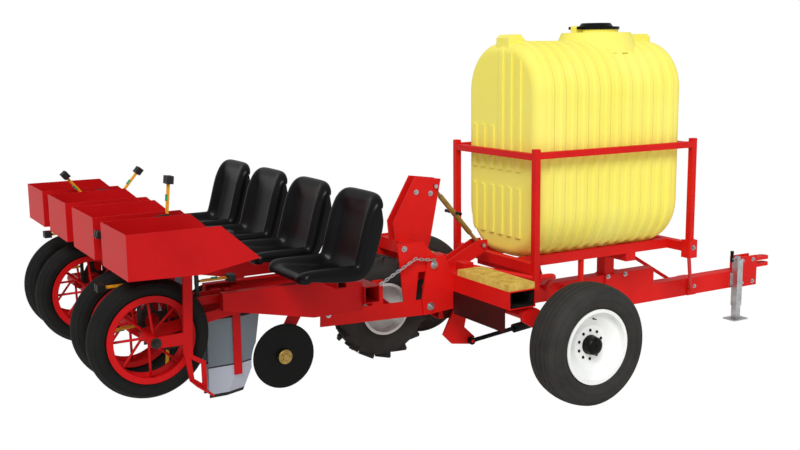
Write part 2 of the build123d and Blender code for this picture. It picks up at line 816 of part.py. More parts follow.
with BuildPart() as tank:
    extrude(tank_outline(TANK_REAR, TANK_RIB), amount=TANK_L)
    end_edges = tank.edges().group_by(Axis.X)
    fillet(end_edges[0] + end_edges[-1], TANK_END_ROUND)
    first_rib = TANK_REAR + TANK_END_ROUND + RIB_PITCH / 2
    with Locations(*[(first_rib + rib * RIB_PITCH, 0, 0) for rib in range(TANK_RIBS)]):
        add(girth_rib.part)
    add(end_ribs.part)
    # A lifting lug at each end
    for end, inward in TANK_ENDS:
        slab(
            0,
            2 * LUG_HALF_W,
            [
                (end + inward * TANK_RIB, TANK_TOP - LUG_H),
                (end + inward * TANK_RIB, TANK_TOP + LUG_H / 2),
                (end + inward * LUG_H, TANK_TOP + LUG_H),
                (end + inward * (LUG_L - LUG_H), TANK_TOP + LUG_H),
                (end + inward * LUG_L, TANK_TOP),
                (end + inward * LUG_L, TANK_TOP - LUG_H),
            ],
        )
    # Raised boss under the filler neck
    with Locations((NECK_X, 0, TANK_TOP - BOSS_DEPTH)):
        Cone(BOSS_R + BOSS_FLARE, BOSS_R, BOSS_DEPTH + BOSS_H, align=UP)
save(tank, "tank")

LID_Z = BOSS_TOP + NECK_H + PIN_GAP
with BuildPart() as tank_neck:
    with Locations((NECK_X, 0, BOSS_TOP)):
        Cylinder(NECK_R, NECK_H, align=UP)
    # Hinge ear behind the neck
    ear = (NECK_X - LID_R - EAR_REACH, LID_Z + LID_FLANGE / 2)
    slab(
        0,
        2 * EAR_HALF_W,
        [
            (ear[0] - LID_ARM, ear[1]),
            (ear[0] + LID_ARM, ear[1]),
            (ear[0] + LID_ARM, BOSS_TOP + NECK_H),
            (NECK_X - NECK_R + NECK_WALL / 2, BOSS_TOP + NECK_H),
            (NECK_X - NECK_R + NECK_WALL / 2, BOSS_TOP),
            (ear[0] - LID_ARM, BOSS_TOP),
        ],
    )
    cross_pin(ear, (-EAR_HALF_W, EAR_HALF_W), LID_ARM)
    with Locations((NECK_X, 0, BOSS_TOP)):
        Cylinder(NECK_R - NECK_WALL, 2 * NECK_H, align=UP, mode=Mode.SUBTRACT)
    cross_pin(ear, (-NECK_R, NECK_R), LID_HINGE_R + PIN_GAP, mode=Mode.SUBTRACT)
save(tank_neck, "tank_neck")

with BuildPart() as tank_lid:
    with Locations((NECK_X, 0, LID_Z)):
        Cylinder(LID_R, LID_FLANGE, align=UP)
    with Locations((NECK_X, 0, LID_Z + LID_FLANGE)):
        Cone(LID_DOME_R + LID_FLANGE, LID_DOME_R, LID_H - LID_FLANGE, align=UP)
    for side in SIDES.values():
        slab(
            side * (EAR_HALF_W + LID_ARM),
            LID_ARM,
            [
                (ear[0] - LID_ARM, ear[1] - LID_FLANGE / 2),
                (ear[0] - LID_ARM, ear[1] + LID_FLANGE / 2),
                (NECK_X - LID_R + 2 * EAR_REACH, ear[1] + LID_FLANGE / 2),
                (NECK_X - LID_R + 2 * EAR_REACH, ear[1] - LID_FLANGE / 2),
            ],
        )
    cross_pin(ear, (-EAR_HALF_W - LID_ARM, EAR_HALF_W + LID_ARM), LID_HINGE_R)
save(tank_lid, "tank_lid")

# Front hitch and jack

with BuildPart() as hitch_plates:
    for side in SIDES.values():
        bar(
            (DRAWBAR_FRONT, DRAWBAR_FRONT + HITCH_PLATE_L),
            (side * CLEVIS_HALF_W, side * BEAM_W / 2),
            (DRAWBAR_LOW - 10, JAW_TOP + 25),
        )
save(hitch_plates, "hitch_plates")

with BuildPart() as clevis:
    bar((CLEVIS_X - CLEVIS_TAIL, CLEVIS_X), (-CLEVIS_HALF_W, CLEVIS_HALF_W), (JAW_LOW, JAW_TOP))
    for low in (JAW_LOW, JAW_TOP - JAW_T):
        bar((CLEVIS_X, HITCH_BORE_X), (-JAW_HALF_W, JAW_HALF_W), (low, low + JAW_T))
        with Locations((HITCH_BORE_X, 0, low)):
            Cylinder(JAW_HALF_W, JAW_T, align=UP)
    with Locations((HITCH_BORE_X, 0, JAW_LOW)):
        Cylinder(
            HITCH_BORE_R,
            JAW_TOP - JAW_LOW,
            align=UP,
            mode=Mode.SUBTRACT,
        )
save(clevis, "clevis")

with BuildPart() as jack_tube:
    jack_x = (JACK_X - JACK_TUBE / 2, JACK_X + JACK_TUBE / 2)
    jack_y = (JACK_Y - JACK_TUBE / 2, JACK_Y + JACK_TUBE / 2)
    bar(jack_x, jack_y, (JACK_LOW, JACK_TOP))
    bar(
        (jack_x[0] + JACK_WALL, jack_x[1] - JACK_WALL),
        (jack_y[0] + JACK_WALL, jack_y[1] - JACK_WALL),
        (JACK_LOW, JACK_TOP - JACK_WALL),
        mode=Mode.SUBTRACT,
    )
    bar((JACK_X - 46, JACK_X + 46), (jack_y[1], -BEAM_W / 2), (DRAWBAR_LOW + 14, BEAM_LOW - 14))
    # Crank at the top
    rod((JACK_X, JACK_Y, JACK_TOP - 1), (JACK_X, JACK_Y, JACK_TOP + 25), 20)
    rod((JACK_X, JACK_Y, JACK_TOP + 14), (JACK_X - 90, JACK_Y - 20, JACK_TOP + 14), 8)
save(jack_tube, "jack_tube")

with BuildPart() as jack_leg:
    bar(
        (JACK_X - JACK_LEG / 2, JACK_X + JACK_LEG / 2),
        (JACK_Y - JACK_LEG / 2, JACK_Y + JACK_LEG / 2),
        (0, JACK_TOP - 150),
    )
    bar(
        (JACK_X - FOOT_L / 2, JACK_X + FOOT_L / 2),
        (JACK_Y - FOOT_W / 2, JACK_Y + FOOT_W / 2),
        (0, FOOT_T),
    )
save(jack_leg, "jack_leg")

# Hitch between cart and transplanter

with BuildPart() as cart_hitch:
    for side in SIDES.values():
        slab(
            side * HITCH_Y,
            HITCH_T,
            [
                (LOW_PIN[0] - 50, LOW_PIN[1] - 55),
                (toolbar_x[0], LOW_PIN[1] - 40),
                (toolbar_x[0], TOOLBAR_TOP),
                (HIGH_PIN[0] + 80, HIGH_PIN[1] + 55),
                (HIGH_PIN[0] - 45, HIGH_PIN[1] + 55),
                (LOW_PIN[0] - 60, LOW_PIN[1] + 60),
            ],
        )
    for place in (LOW_PIN, HIGH_PIN):
        cross_pin(place, (-2 * HITCH_Y, 2 * HITCH_Y), PIN_R + PIN_GAP, mode=Mode.SUBTRACT)
    # Lug on the toolbar's top for the top link
    for side in SIDES.values():
        slab(
            side * LUG_Y,
            PLATE,
            [
                (toolbar_x[0] + 60, TOOLBAR_TOP),
                (toolbar_x[1], TOOLBAR_TOP),
                (LINK_PIN[0] + 40, LINK_PIN[1] - 40),
                (LINK_PIN[0] + 40, LINK_PIN[1] + 35),
                (LINK_PIN[0] - 40, LINK_PIN[1] + 35),
                (toolbar_x[0] + 60, TOOLBAR_TOP + 40),
            ],
        )
    cross_pin(LINK_PIN, (-LUG_Y - PLATE, LUG_Y + PLATE), TOP_PIN_R + PIN_GAP, mode=Mode.SUBTRACT)
save(cart_hitch, "cart_hitch")

with BuildPart() as side_frames:
    for side in SIDES.values():
        frame_y = side * FRAME_Y
        # Lower bar from under the plant toolbar to the lower pin
        slab(
            frame_y,
            FRAME_T,
            [
                (PLANT_BAR_X - 40, PLANT_BAR_LOW),
                (PLANT_BAR_X - 50, 520),
                (LOW_PIN[0] + 45, LOW_PIN[1] - 60),
                (LOW_PIN[0] + 45, LOW_PIN[1] + 45),
                (PLANT_BAR_X + 60, 615),
                (PLANT_BAR_X + 40, PLANT_BAR_LOW),
            ],
        )
        # Upright beside the drive wheel, where the check chain is pinned
        slab(
            frame_y,
            FRAME_T,
            [(DRIVE_X - 160, 560), (DRIVE_X - 80, 560), (DRIVE_X - 85, 770), (DRIVE_X - 155, 770)],
        )
        # Upright between the two hitch pins
        slab(
            frame_y,
            FRAME_T,
            [
                (DRIVE_X + 80, DRIVE_Z),
                (DRIVE_X + 30, UPRIGHT_TOP),
                (HIGH_PIN[0] - 70, UPRIGHT_TOP),
                (HIGH_PIN[0] - 50, UPRIGHT_TOP - 30),
                (HIGH_PIN[0] + 40, HIGH_PIN[1] + 40),
                (HIGH_PIN[0] + 40, HIGH_PIN[1] - 40),
                (DRIVE_X + 185, HIGH_PIN[1] - 40),
                (DRIVE_X + 155, DRIVE_Z),
            ],
        )
    for place in (LOW_PIN, HIGH_PIN):
        cross_pin(place, (-2 * HITCH_Y, 2 * HITCH_Y), PIN_R + PIN_GAP, mode=Mode.SUBTRACT)
save(side_frames, "side_frames")

# Mast for the top link, on a tube between the side frames
with BuildPart() as mast:
    frame_face = FRAME_Y - FRAME_T / 2
    bar(
        (MAST_TUBE_X - MAST_TUBE / 2, MAST_TUBE_X + MAST_TUBE / 2),
        (-frame_face, frame_face),
        (MAST_TUBE_LOW, MAST_TUBE_LOW + MAST_TUBE),
    )
    for side in SIDES.values():
        slab(
            side * LUG_Y,
            PLATE,
            [
                (MAST_TUBE_X - MAST_TUBE / 2, MAST_TUBE_LOW),
                (MAST_TUBE_X - 62, MAST_PIN[1] - 216),
                (MAST_PIN[0] - 151, MAST_PIN[1] + 74),
                (MAST_PIN[0] + 46, MAST_PIN[1] + 46),
                (MAST_PIN[0] - 37, MAST_PIN[1] - 350),
                (MAST_PIN[0] - 60, MAST_TUBE_LOW),
            ],
        )
    cross_pin(MAST_PIN, (-FRAME_Y, FRAME_Y), TOP_PIN_R + PIN_GAP, mode=Mode.SUBTRACT)
save(mast, "mast")

CHECK_Y = HITCH_Y + HITCH_T / 2 + CHECK_W / 2 + PIN_GAP
CHECK_FOOT = (DRIVE_X - 110, 750)
CHECK_BEND = (AXLE_X - 776, 882)
CHECK_END = (HIGH_PIN[0] - 10, HIGH_PIN[1] + 36)
CHECK_BOLTS = (
    (CHECK_FOOT, FRAME_Y + FRAME_T / 2),
    (CHECK_END, HITCH_Y + HITCH_T / 2),
)
with BuildPart() as hitch_pins:
    pin_end = HITCH_Y + HITCH_T / 2 + 20
    for place in (LOW_PIN, HIGH_PIN):
        for side in SIDES.values():
            cross_pin(place, (side * (FRAME_Y - 40), side * pin_end), PIN_R)
    for place in (MAST_PIN, LINK_PIN):
        cross_pin(place, (-LUG_Y - 25, LUG_Y + 25), TOP_PIN_R)
    # Bolts that hold the check chains' ends
    for place, face in CHECK_BOLTS:
        for side in SIDES.values():
            cross_pin(place, (side * face, side * (CHECK_Y + CHECK_W / 2)), CHECK_BOLT_R)
save(hitch_pins, "hitch_pins")

with BuildPart() as top_link:
    upper = Vector(MAST_PIN[0], 0, MAST_PIN[1])
    lower = Vector(LINK_PIN[0], 0, LINK_PIN[1])
    rod(upper, lower, LINK_R * 0.7)
    rod(upper + (lower - upper) * 0.18, upper + (lower - upper) * 0.8, LINK_R)
    middle = upper + (lower - upper) * 0.45
    rod((middle.X, -95, middle.Z), (middle.X, 95, middle.Z), 8)
    for end in (upper, lower):
        cross_pin((end.X, end.Z), (-22, 22), 2 * TOP_PIN_R)
    for end in (upper, lower):
        cross_pin((end.X, end.Z), (-30, 30), TOP_PIN_R + PIN_GAP, mode=Mode.SUBTRACT)
save(top_link, "top_link")

def check_place(fraction):
    """Place and direction at a fraction of the check chain's way, in X and Z."""
    corners = [Vector(x, 0, z) for x, z in (CHECK_FOOT, CHECK_BEND, CHECK_END)]
    runs = [(end - start).length for start, end in zip(corners, corners[1:])]
    reach = fraction * sum(runs)
    first = reach <= runs[0]
    start, end = corners[:2] if first else corners[1:]
    along = (end - start).normalized()
    return start + along * (reach if first else reach - runs[0]), along


CHECK_LENGTH = math.dist(CHECK_FOOT, CHECK_BEND) + math.dist(CHECK_BEND, CHECK_END)
CHECK_STEPS = 2 * round(CHECK_LENGTH / CHECK_PITCH / 2)
with BuildPart() as check_link:
    with BuildSketch() as ring:
        SlotOverall(CHECK_LINK, CHECK_W)
        SlotOverall(CHECK_LINK - 2 * CHECK_BAR, CHECK_W - 2 * CHECK_BAR, mode=Mode.SUBTRACT)
    extrude(ring.sketch, amount=CHECK_BAR / 2, both=True)
with BuildPart() as check_chains:
    # Links laid flat and on edge by turns
    for side in SIDES.values():
        links = []
        for step in range(CHECK_STEPS + 1):
            place, along = check_place(step / CHECK_STEPS)
            flat = Vector(0, 1, 0)
            face = along.cross(flat) if step % 2 else flat
            links.append(Plane(place + flat * side * CHECK_Y, x_dir=along, z_dir=face))
        with Locations(*links):
            add(check_link.part)
save(check_chains, "check_chains")

# Transplanter frame

with BuildPart() as plant_bar:
    plant_x = (PLANT_BAR_X - PLANT_BAR / 2, PLANT_BAR_X + PLANT_BAR / 2)
    bar(plant_x, (-PLANT_BAR_HALF, PLANT_BAR_HALF), (PLANT_BAR_LOW, PLANT_BAR_TOP))
    bar(
        (plant_x[0] + TUBE_WALL, plant_x[1] - TUBE_WALL),
        (-PLANT_BAR_HALF, PLANT_BAR_HALF),
        (PLANT_BAR_LOW + TUBE_WALL, PLANT_BAR_TOP - TUBE_WALL),
        mode=Mode.SUBTRACT,
    )
save(plant_bar, "plant_bar")

# Tapered channel beams, two a row, open towards the row's middle
beam_outline = [
    (ROW_BEAM_REAR, ROW_BEAM_TAIL_LOW),
    (ROW_BEAM_REAR, ROW_BEAM_TOP),
    (SEAT_X + SEAT_BAR_W, ROW_BEAM_TOP),
    (plant_x[0], PLANT_BAR_TOP + 25),
    (plant_x[0], ROW_BEAM_LOW),
    (ROW_BEAM_KNEE, ROW_BEAM_LOW),
]
with BuildPart() as row_beams:
    for row in SIDES.values():
        for side in SIDES.values():
            y = row * ROW_Y + side * BEAM_OFFSET
            slab(y, ROW_BEAM_W, beam_outline)
            with BuildSketch(side_plane(y - side * TUBE_WALL)) as hollow:
                with BuildLine():
                    Polyline(*beam_outline, close=True)
                make_face()
                offset(amount=-TUBE_WALL, kind=Kind.INTERSECTION, mode=Mode.REPLACE)
            extrude(amount=ROW_BEAM_W / 2, both=True, mode=Mode.SUBTRACT)
save(row_beams, "row_beams")

with BuildPart() as seat_bar:
    bar_top = ROW_BEAM_TOP + SEAT_BAR_H
    bar(
        (SEAT_X - SEAT_BAR_W / 2, SEAT_X + SEAT_BAR_W / 2),
        (-ROW_Y - SEAT_OFFSET - 90, ROW_Y + SEAT_OFFSET + 90),
        (ROW_BEAM_TOP, bar_top),
    )
    bar(
        (SEAT_X - SEAT_BAR_W / 2 + TUBE_WALL, SEAT_X + SEAT_BAR_W / 2 - TUBE_WALL),
        (-ROW_Y - SEAT_OFFSET - 90, ROW_Y + SEAT_OFFSET + 90),
        (ROW_BEAM_TOP + TUBE_WALL, bar_top - TUBE_WALL),
        mode=Mode.SUBTRACT,
    )
    for y in TRAY_YS:
        bar((SEAT_X - 70, SEAT_X + 60), (y - 80, y + 80), (bar_top, SEAT_LOW))
save(seat_bar, "seat_bar")

def seat_block(points, width, corner, flank):
    """A block of the seat's side outline with rounded corners and flanks, centred on Y = 0."""
    with BuildPart() as shape:
        with BuildSketch(side_plane(0)) as section:
            with BuildLine():
                Polyline(*[(SEAT_X + x, SEAT_LOW + z) for x, z in points], close=True)
            make_face()
            fillet(section.vertices(), corner)
        extrude(amount=width / 2, both=True)
        flanks = shape.edges().group_by(Axis.Y)
        fillet(flanks[0] + flanks[-1], flank)
    return shape.part


# Moulded bucket seats: rounded outside, scooped inside, with a round head
SEAT_OUTSIDE = (
    (-300, 40),
    (-110, 0),
    (95, 0),
    (205, SEAT_BACK_H),
    (130, SEAT_BACK_H),
    (5, 170),
    (-300, 100),
)
SEAT_SCOOP = (
    (-400, 75),
    (-285, 62),
    (-110, 25),
    (50, 25),
    (165, SEAT_BACK_H + 20),
    (165, 2 * SEAT_BACK_H),
    (-400, 2 * SEAT_BACK_H),
)
with BuildPart() as seat:
    add(seat_block(SEAT_OUTSIDE, SEAT_W, SEAT_CORNER, SEAT_FLANK))
    with BuildSketch(Plane((SEAT_X, 0, SEAT_LOW), x_dir=(0, 1, 0), z_dir=(1, 0, 0))) as head:
        with Locations((0, SEAT_BACK_H / 2)):
            Rectangle(SEAT_W + SEAT_TRIM, SEAT_BACK_H + 2 * SEAT_TRIM)
        fillet(head.vertices().group_by(Axis.Z)[-1], SEAT_HEAD_ROUND)
    extrude(head.sketch, amount=2 * SEAT_BACK_H, both=True, mode=Mode.INTERSECT)
    scoop = seat_block(SEAT_SCOOP, SEAT_W - 2 * SEAT_SIDE, SEAT_SCOOP_ROUND, SEAT_SCOOP_FLANK)
    add(scoop, mode=Mode.SUBTRACT)
with BuildPart() as seats:
    with Locations([(0, y, 0) for y in TRAY_YS]):
        add(seat.part)
save(seats, "seats")

with BuildPart() as trays:
    tray_outline = [
        (TRAY_REAR, TRAY_TOP),
        (TRAY_BROW_X, TRAY_TOP),
        TRAY_NOSE,
        TRAY_KNEE,
        (TRAY_REAR, TRAY_LOW),
    ]
    for y in TRAY_YS:
        slab(y, TRAY_W, tray_outline)
    for y in TRAY_YS:
        slab(
            y,
            TRAY_W - 2 * TRAY_SHEET,
            [
                (TRAY_REAR + TRAY_SHEET, TRAY_TOP + 100),
                (TRAY_NOSE[0] + 100, TRAY_TOP + 100),
                (TRAY_NOSE[0] + 100, TRAY_NOSE[1] + 20),
                (TRAY_KNEE[0], TRAY_KNEE[1] + TRAY_SHEET),
                (TRAY_REAR + TRAY_SHEET, TRAY_LOW + TRAY_SHEET),
            ],
            mode=Mode.SUBTRACT,
        )
save(trays, "trays")

# Packing wheels

pack_number = 0
for row in SIDES.values():
    for side in SIDES.values():
        pack_number += 1
        hub = (PACK_X, row * ROW_Y + side * PACK_OFFSET, PACK_Z)
        with BuildPart() as pack_tyre:
            tyre(
                hub,
                PACK_R,
                PACK_HALF_W,
                PACK_BEAD_R,
                PACK_FLANGE_R + PLATE_GAP,
                PACK_RIM_HALF_W,
                PACK_TREAD_HALF_W,
                PACK_CROWN,
            )
        save(pack_tyre, f"pack_tyre_{pack_number}")

        with BuildPart() as pack_rim:
            turned(
                hub,
                [
                    (PACK_LIP_R, -PACK_RIM_HALF_W - 8),
                    (PACK_FLANGE_R, -PACK_RIM_HALF_W - 8),
                    (PACK_FLANGE_R, -PACK_RIM_HALF_W - 1),
                    (PACK_BEAD_R, -PACK_RIM_HALF_W),
                    (PACK_BEAD_R, PACK_RIM_HALF_W),
                    (PACK_FLANGE_R, PACK_RIM_HALF_W + 1),
                    (PACK_FLANGE_R, PACK_RIM_HALF_W + 8),
                    (PACK_LIP_R, PACK_RIM_HALF_W + 8),
                    (PACK_BEAD_R - PACK_RIM_WALL, PACK_RIM_HALF_W - 4),
                    (PACK_BEAD_R - PACK_RIM_WALL, -PACK_RIM_HALF_W + 4),
                ],
            )
            cross_pin(
                (hub[0], hub[2]),
                (hub[1] - PACK_HALF_W, hub[1] + PACK_HALF_W),
                PACK_HUB_R,
            )
            for spoke in range(PACK_SPOKES):
                angle = spoke * 360 / PACK_SPOKES
                lean = 1 if spoke % 2 else -1
                rod(
                    around(hub, PACK_HUB_R - 10, angle - 40, lean * 40),
                    around(hub, PACK_BEAD_R - PACK_RIM_WALL / 2, angle, 0),
                    SPOKE_R,
                )
            cross_pin(
                (hub[0], hub[2]),
                (hub[1] - 2 * PACK_HALF_W, hub[1] + 2 * PACK_HALF_W),
                PACK_AXLE_R + PIN_GAP,
                mode=Mode.SUBTRACT,
            )
        save(pack_rim, f"pack_rim_{pack_number}")

# Arms between the packing wheels, with the axles that reach out to the tray legs
LEG_FACE = LEG_Y - PLATE / 2
with BuildPart() as packer_arms:
    for row in SIDES.values():
        for side in SIDES.values():
            offsets = {
                "arm": PACK_ARM_Y,
                "web": BEAM_OFFSET + ROW_BEAM_W / 2 - TUBE_WALL,
                "wheel_inside": PACK_OFFSET - PACK_HALF_W - PLATE_GAP,
                "wheel_outside": PACK_OFFSET + PACK_HALF_W + PLATE_GAP,
                "leg": LEG_FACE,
                "end": LEG_Y + PLATE,
            }
            y = {place: row * ROW_Y + side * offset for place, offset in offsets.items()}
            slab(
                y["arm"],
                PACK_ARM_T,
                [
                    (ROW_BEAM_REAR + ARM_ROOT[1], ROW_BEAM_TOP - 25),
                    (ROW_BEAM_REAR + ARM_ROOT[0], ROW_BEAM_TOP - 25),
                    (ROW_BEAM_REAR + ARM_ROOT[0] - 5, ROW_BEAM_TAIL_LOW + 14),
                    (PACK_X, PACK_Z + ARM_EYE_R),
                    (PACK_X - ARM_EYE_R, PACK_Z),
                    (PACK_X, PACK_Z - ARM_EYE_R),
                    (ROW_BEAM_REAR + ARM_ROOT[1], ROW_BEAM_TAIL_LOW - 25),
                ],
            )
            # Stub to the row beam's web, the axle, and its collars beside the hub
            bar(
                (ROW_BEAM_REAR + ARM_ROOT[0], ROW_BEAM_REAR + ARM_ROOT[1]),
                (y["arm"], y["web"]),
                (ROW_BEAM_TAIL_LOW - 10, ROW_BEAM_TOP - 25),
            )
            cross_pin((PACK_X, PACK_Z), (y["arm"], y["end"]), PACK_AXLE_R)
            cross_pin((PACK_X, PACK_Z), (y["arm"], y["wheel_inside"]), PACK_HUB_R)
            cross_pin((PACK_X, PACK_Z), (y["wheel_outside"], y["leg"]), PACK_HUB_R)
save(packer_arms, "packer_arms")

# Tray legs, each with an arm back to the wheel's axle and a footrest frame at its foot
with BuildPart() as tray_legs:
    for row in SIDES.values():
        for side in SIDES.values():
            leg_y = row * ROW_Y + side * LEG_Y
            slab(
                leg_y,
                PLATE,
                [
                    (TRAY_KNEE[0] - LEG_W / 2, TRAY_KNEE[1]),
                    (TRAY_KNEE[0] + LEG_W / 2, TRAY_KNEE[1]),
                    (LEG_X + LEG_W / 2, LEG_LOW + 40),
                    (LEG_X + LEG_W / 2, LEG_LOW - 20),
                    (LEG_X - LEG_W / 2, LEG_LOW),
                ],
            )
            slab(
                leg_y,
                PLATE,
                [
                    (LEG_X, PACK_Z + 34),
                    (PACK_X, PACK_Z + PACK_HUB_R),
                    (PACK_X - PACK_HUB_R, PACK_Z),
                    (PACK_X, PACK_Z - PACK_HUB_R),
                    (LEG_X, PACK_Z - PACK_HUB_R),
                ],
            )
            slab(leg_y, PLATE, REST_OUTSIDE)
            slab(leg_y, PLATE, REST_WINDOW, mode=Mode.SUBTRACT)
            # Tread plate along the frame's lower edge
            slab(
                leg_y + side * (PLATE + REST_W) / 2,
                REST_W,
                [
                    REST_OUTSIDE[3],
                    REST_OUTSIDE[2],
                    (REST_OUTSIDE[2][0], REST_OUTSIDE[2][1] + PLATE),
                    (REST_OUTSIDE[3][0], REST_OUTSIDE[3][1] + PLATE),
                ],
            )
    cross_pin(
        (PACK_X, PACK_Z), (-2 * ROW_Y, 2 * ROW_Y), PACK_AXLE_R + PIN_GAP, mode=Mode.SUBTRACT
    )
save(tray_legs, "tray_legs")

# Gripper chains: a closed loop round two sprockets, with arms that carry plant clamps
CHAIN_RUN = CHAIN_TOP_Z - CHAIN_LOW_Z
CHAIN_ARC = math.pi * CHAIN_R
CHAIN_LENGTH = 2 * (CHAIN_RUN + CHAIN_ARC)
CHAIN_PITCH = CHAIN_LENGTH / CHAIN_LINKS
CHAIN_START = {"right": 84.5, "left": 49.9}


def chain_place(distance):
    """Centre of curvature height and outward angle at a distance round the chain."""
    distance %= CHAIN_LENGTH
    if distance < CHAIN_ARC:
        return CHAIN_TOP_Z, distance / CHAIN_R
    distance -= CHAIN_ARC
    if distance < CHAIN_RUN:
        return CHAIN_TOP_Z - distance, math.pi
    distance -= CHAIN_RUN
    if distance < CHAIN_ARC:
        return CHAIN_LOW_Z, math.pi + distance / CHAIN_R
    return CHAIN_LOW_Z + distance - CHAIN_ARC, 0


# One loop of chain about Y = 0: a core band with link plates, by turns inside and outside
with BuildPart() as chain_loop:
    loop_middle = (CHAIN_X, 0, (CHAIN_TOP_Z + CHAIN_LOW_Z) / 2)
    with BuildSketch(Plane(loop_middle, x_dir=(0, 0, 1), z_dir=(0, 1, 0))) as loop:
        SlotCenterToCenter(CHAIN_RUN, 2 * CHAIN_R + CHAIN_T)
        SlotCenterToCenter(CHAIN_RUN, 2 * CHAIN_R - CHAIN_T, mode=Mode.SUBTRACT)
    extrude(loop.sketch, amount=CHAIN_W / 2, both=True)
    plates = []
    for link in range(CHAIN_LINKS):
        z, angle = chain_place(link * CHAIN_PITCH)
        out = Vector(math.cos(angle), 0, math.sin(angle))
        step = CHAIN_W / 2 + LINK_T * (1.5 if link % 2 else 0.5)
        for side in SIDES.values():
            place = Vector(CHAIN_X, side * step, z) + out * CHAIN_R
            plates.append(Plane(place, x_dir=(0, 1, 0), z_dir=out))
    with Locations(*plates):
        Box(LINK_T, CHAIN_PITCH + LINK_LAP, LINK_H)

with BuildPart() as gripper_chains:
    for name, row in SIDES.items():
        y = row * ROW_Y
        with Locations((0, y, 0)):
            add(chain_loop.part)
        # Gripper arms, each with a clamp of two jaws and a trip rod beside it
        start = math.radians(CHAIN_START[name]) * CHAIN_R
        feet = []
        for gripper in range(GRIPPERS):
            z, angle = chain_place(start + gripper * CHAIN_LENGTH / GRIPPERS)
            out = Vector(math.cos(angle), 0, math.sin(angle))
            place = Vector(CHAIN_X, y, z) + out * CHAIN_R
            feet.append(Plane(place, x_dir=(0, 1, 0), z_dir=out))
        reach = GRIPPER_TIP - GRIP_L - CHAIN_R
        jaw_w = (GRIP_W - GRIP_GAP) / 2
        rod_place = (0, (GRIPPER_BAR_T + GRIPPER_ROD_R) / 2, GRIPPER_ROD_FOOT)
        with Locations(*feet):
            Box(GRIPPER_BAR, GRIPPER_BAR_T, reach, align=UP)
            with Locations((0, 0, reach)):
                Box(GRIP_W, GRIP_T, GRIP_BASE, align=UP)
            with Locations((-(GRIP_GAP + jaw_w) / 2, 0, reach), ((GRIP_GAP + jaw_w) / 2, 0, reach)):
                Box(jaw_w, GRIP_T, GRIP_L, align=UP)
            with Locations(rod_place):
                Cylinder(GRIPPER_ROD_R, reach - GRIPPER_ROD_FOOT, align=UP)
save(gripper_chains, "gripper_chains")

with BuildPart() as sprockets:
    for row in SIDES.values():
        for z in (CHAIN_TOP_Z, CHAIN_LOW_Z):
            y = row * ROW_Y
            faces = (y - SPROCKET_T / 2, y + SPROCKET_T / 2)
            cross_pin((CHAIN_X, z), faces, SPROCKET_R - PIN_GAP)
            for window in range(SPROCKET_WINDOWS):
                turn = window * 360 / SPROCKET_WINDOWS
                spot = around((CHAIN_X, y, z), 0.6 * SPROCKET_R, turn)
                cross_pin((spot[0], spot[2]), faces, SPROCKET_WINDOW_R, mode=Mode.SUBTRACT)
            half = CARRIER_Y + CARRIER_T
            cross_pin((CHAIN_X, z), (y - half, y + half), SPROCKET_SHAFT_R)
save(sprockets, "sprockets")

# Carriers that hold the sprocket shafts off the row beams, and straps that hang the shoes
with BuildPart() as row_brackets:
    for row in SIDES.values():
        for side in SIDES.values():
            carrier_y = row * ROW_Y + side * CARRIER_Y
            web = row * ROW_Y + side * (BEAM_OFFSET + ROW_BEAM_W / 2 - TUBE_WALL)
            slab(
                carrier_y,
                CARRIER_T,
                [
                    (CHAIN_X - 22, CHAIN_LOW_Z - 30),
                    (CHAIN_X + 22, CHAIN_LOW_Z - 30),
                    (CHAIN_X + 22, ROW_BEAM_TAIL_LOW + 25),
                    (ROW_BEAM_REAR + 75, ROW_BEAM_TAIL_LOW + 25),
                    (ROW_BEAM_REAR + 75, ROW_BEAM_TOP - 25),
                    (CHAIN_X + 22, ROW_BEAM_TOP - 25),
                    (CHAIN_X + 22, CHAIN_TOP_Z + 30),
                    (CHAIN_X - 22, CHAIN_TOP_Z + 30),
                ],
            )
            bar(
                (ROW_BEAM_REAR + 20, ROW_BEAM_REAR + 75),
                (carrier_y, web),
                (ROW_BEAM_TAIL_LOW + 25, ROW_BEAM_TOP - 25),
            )
            strap_y = row * ROW_Y + side * (SHOE_HALF_W + 4)
            bar(
                (ROW_BEAM_REAR + 90, ROW_BEAM_REAR + 135),
                (strap_y - 4, strap_y + 4),
                (SHOE_LOW + 110, ROW_BEAM_TOP - 30),
            )
            bar(
                (ROW_BEAM_REAR + 90, ROW_BEAM_REAR + 135),
                (strap_y, web),
                (ROW_BEAM_TOP - 70, ROW_BEAM_TOP - 30),
            )
    for z in (CHAIN_TOP_Z, CHAIN_LOW_Z):
        cross_pin(
            (CHAIN_X, z), (-2 * ROW_Y, 2 * ROW_Y), SPROCKET_SHAFT_R + PIN_GAP, mode=Mode.SUBTRACT
        )
save(row_brackets, "row_brackets")

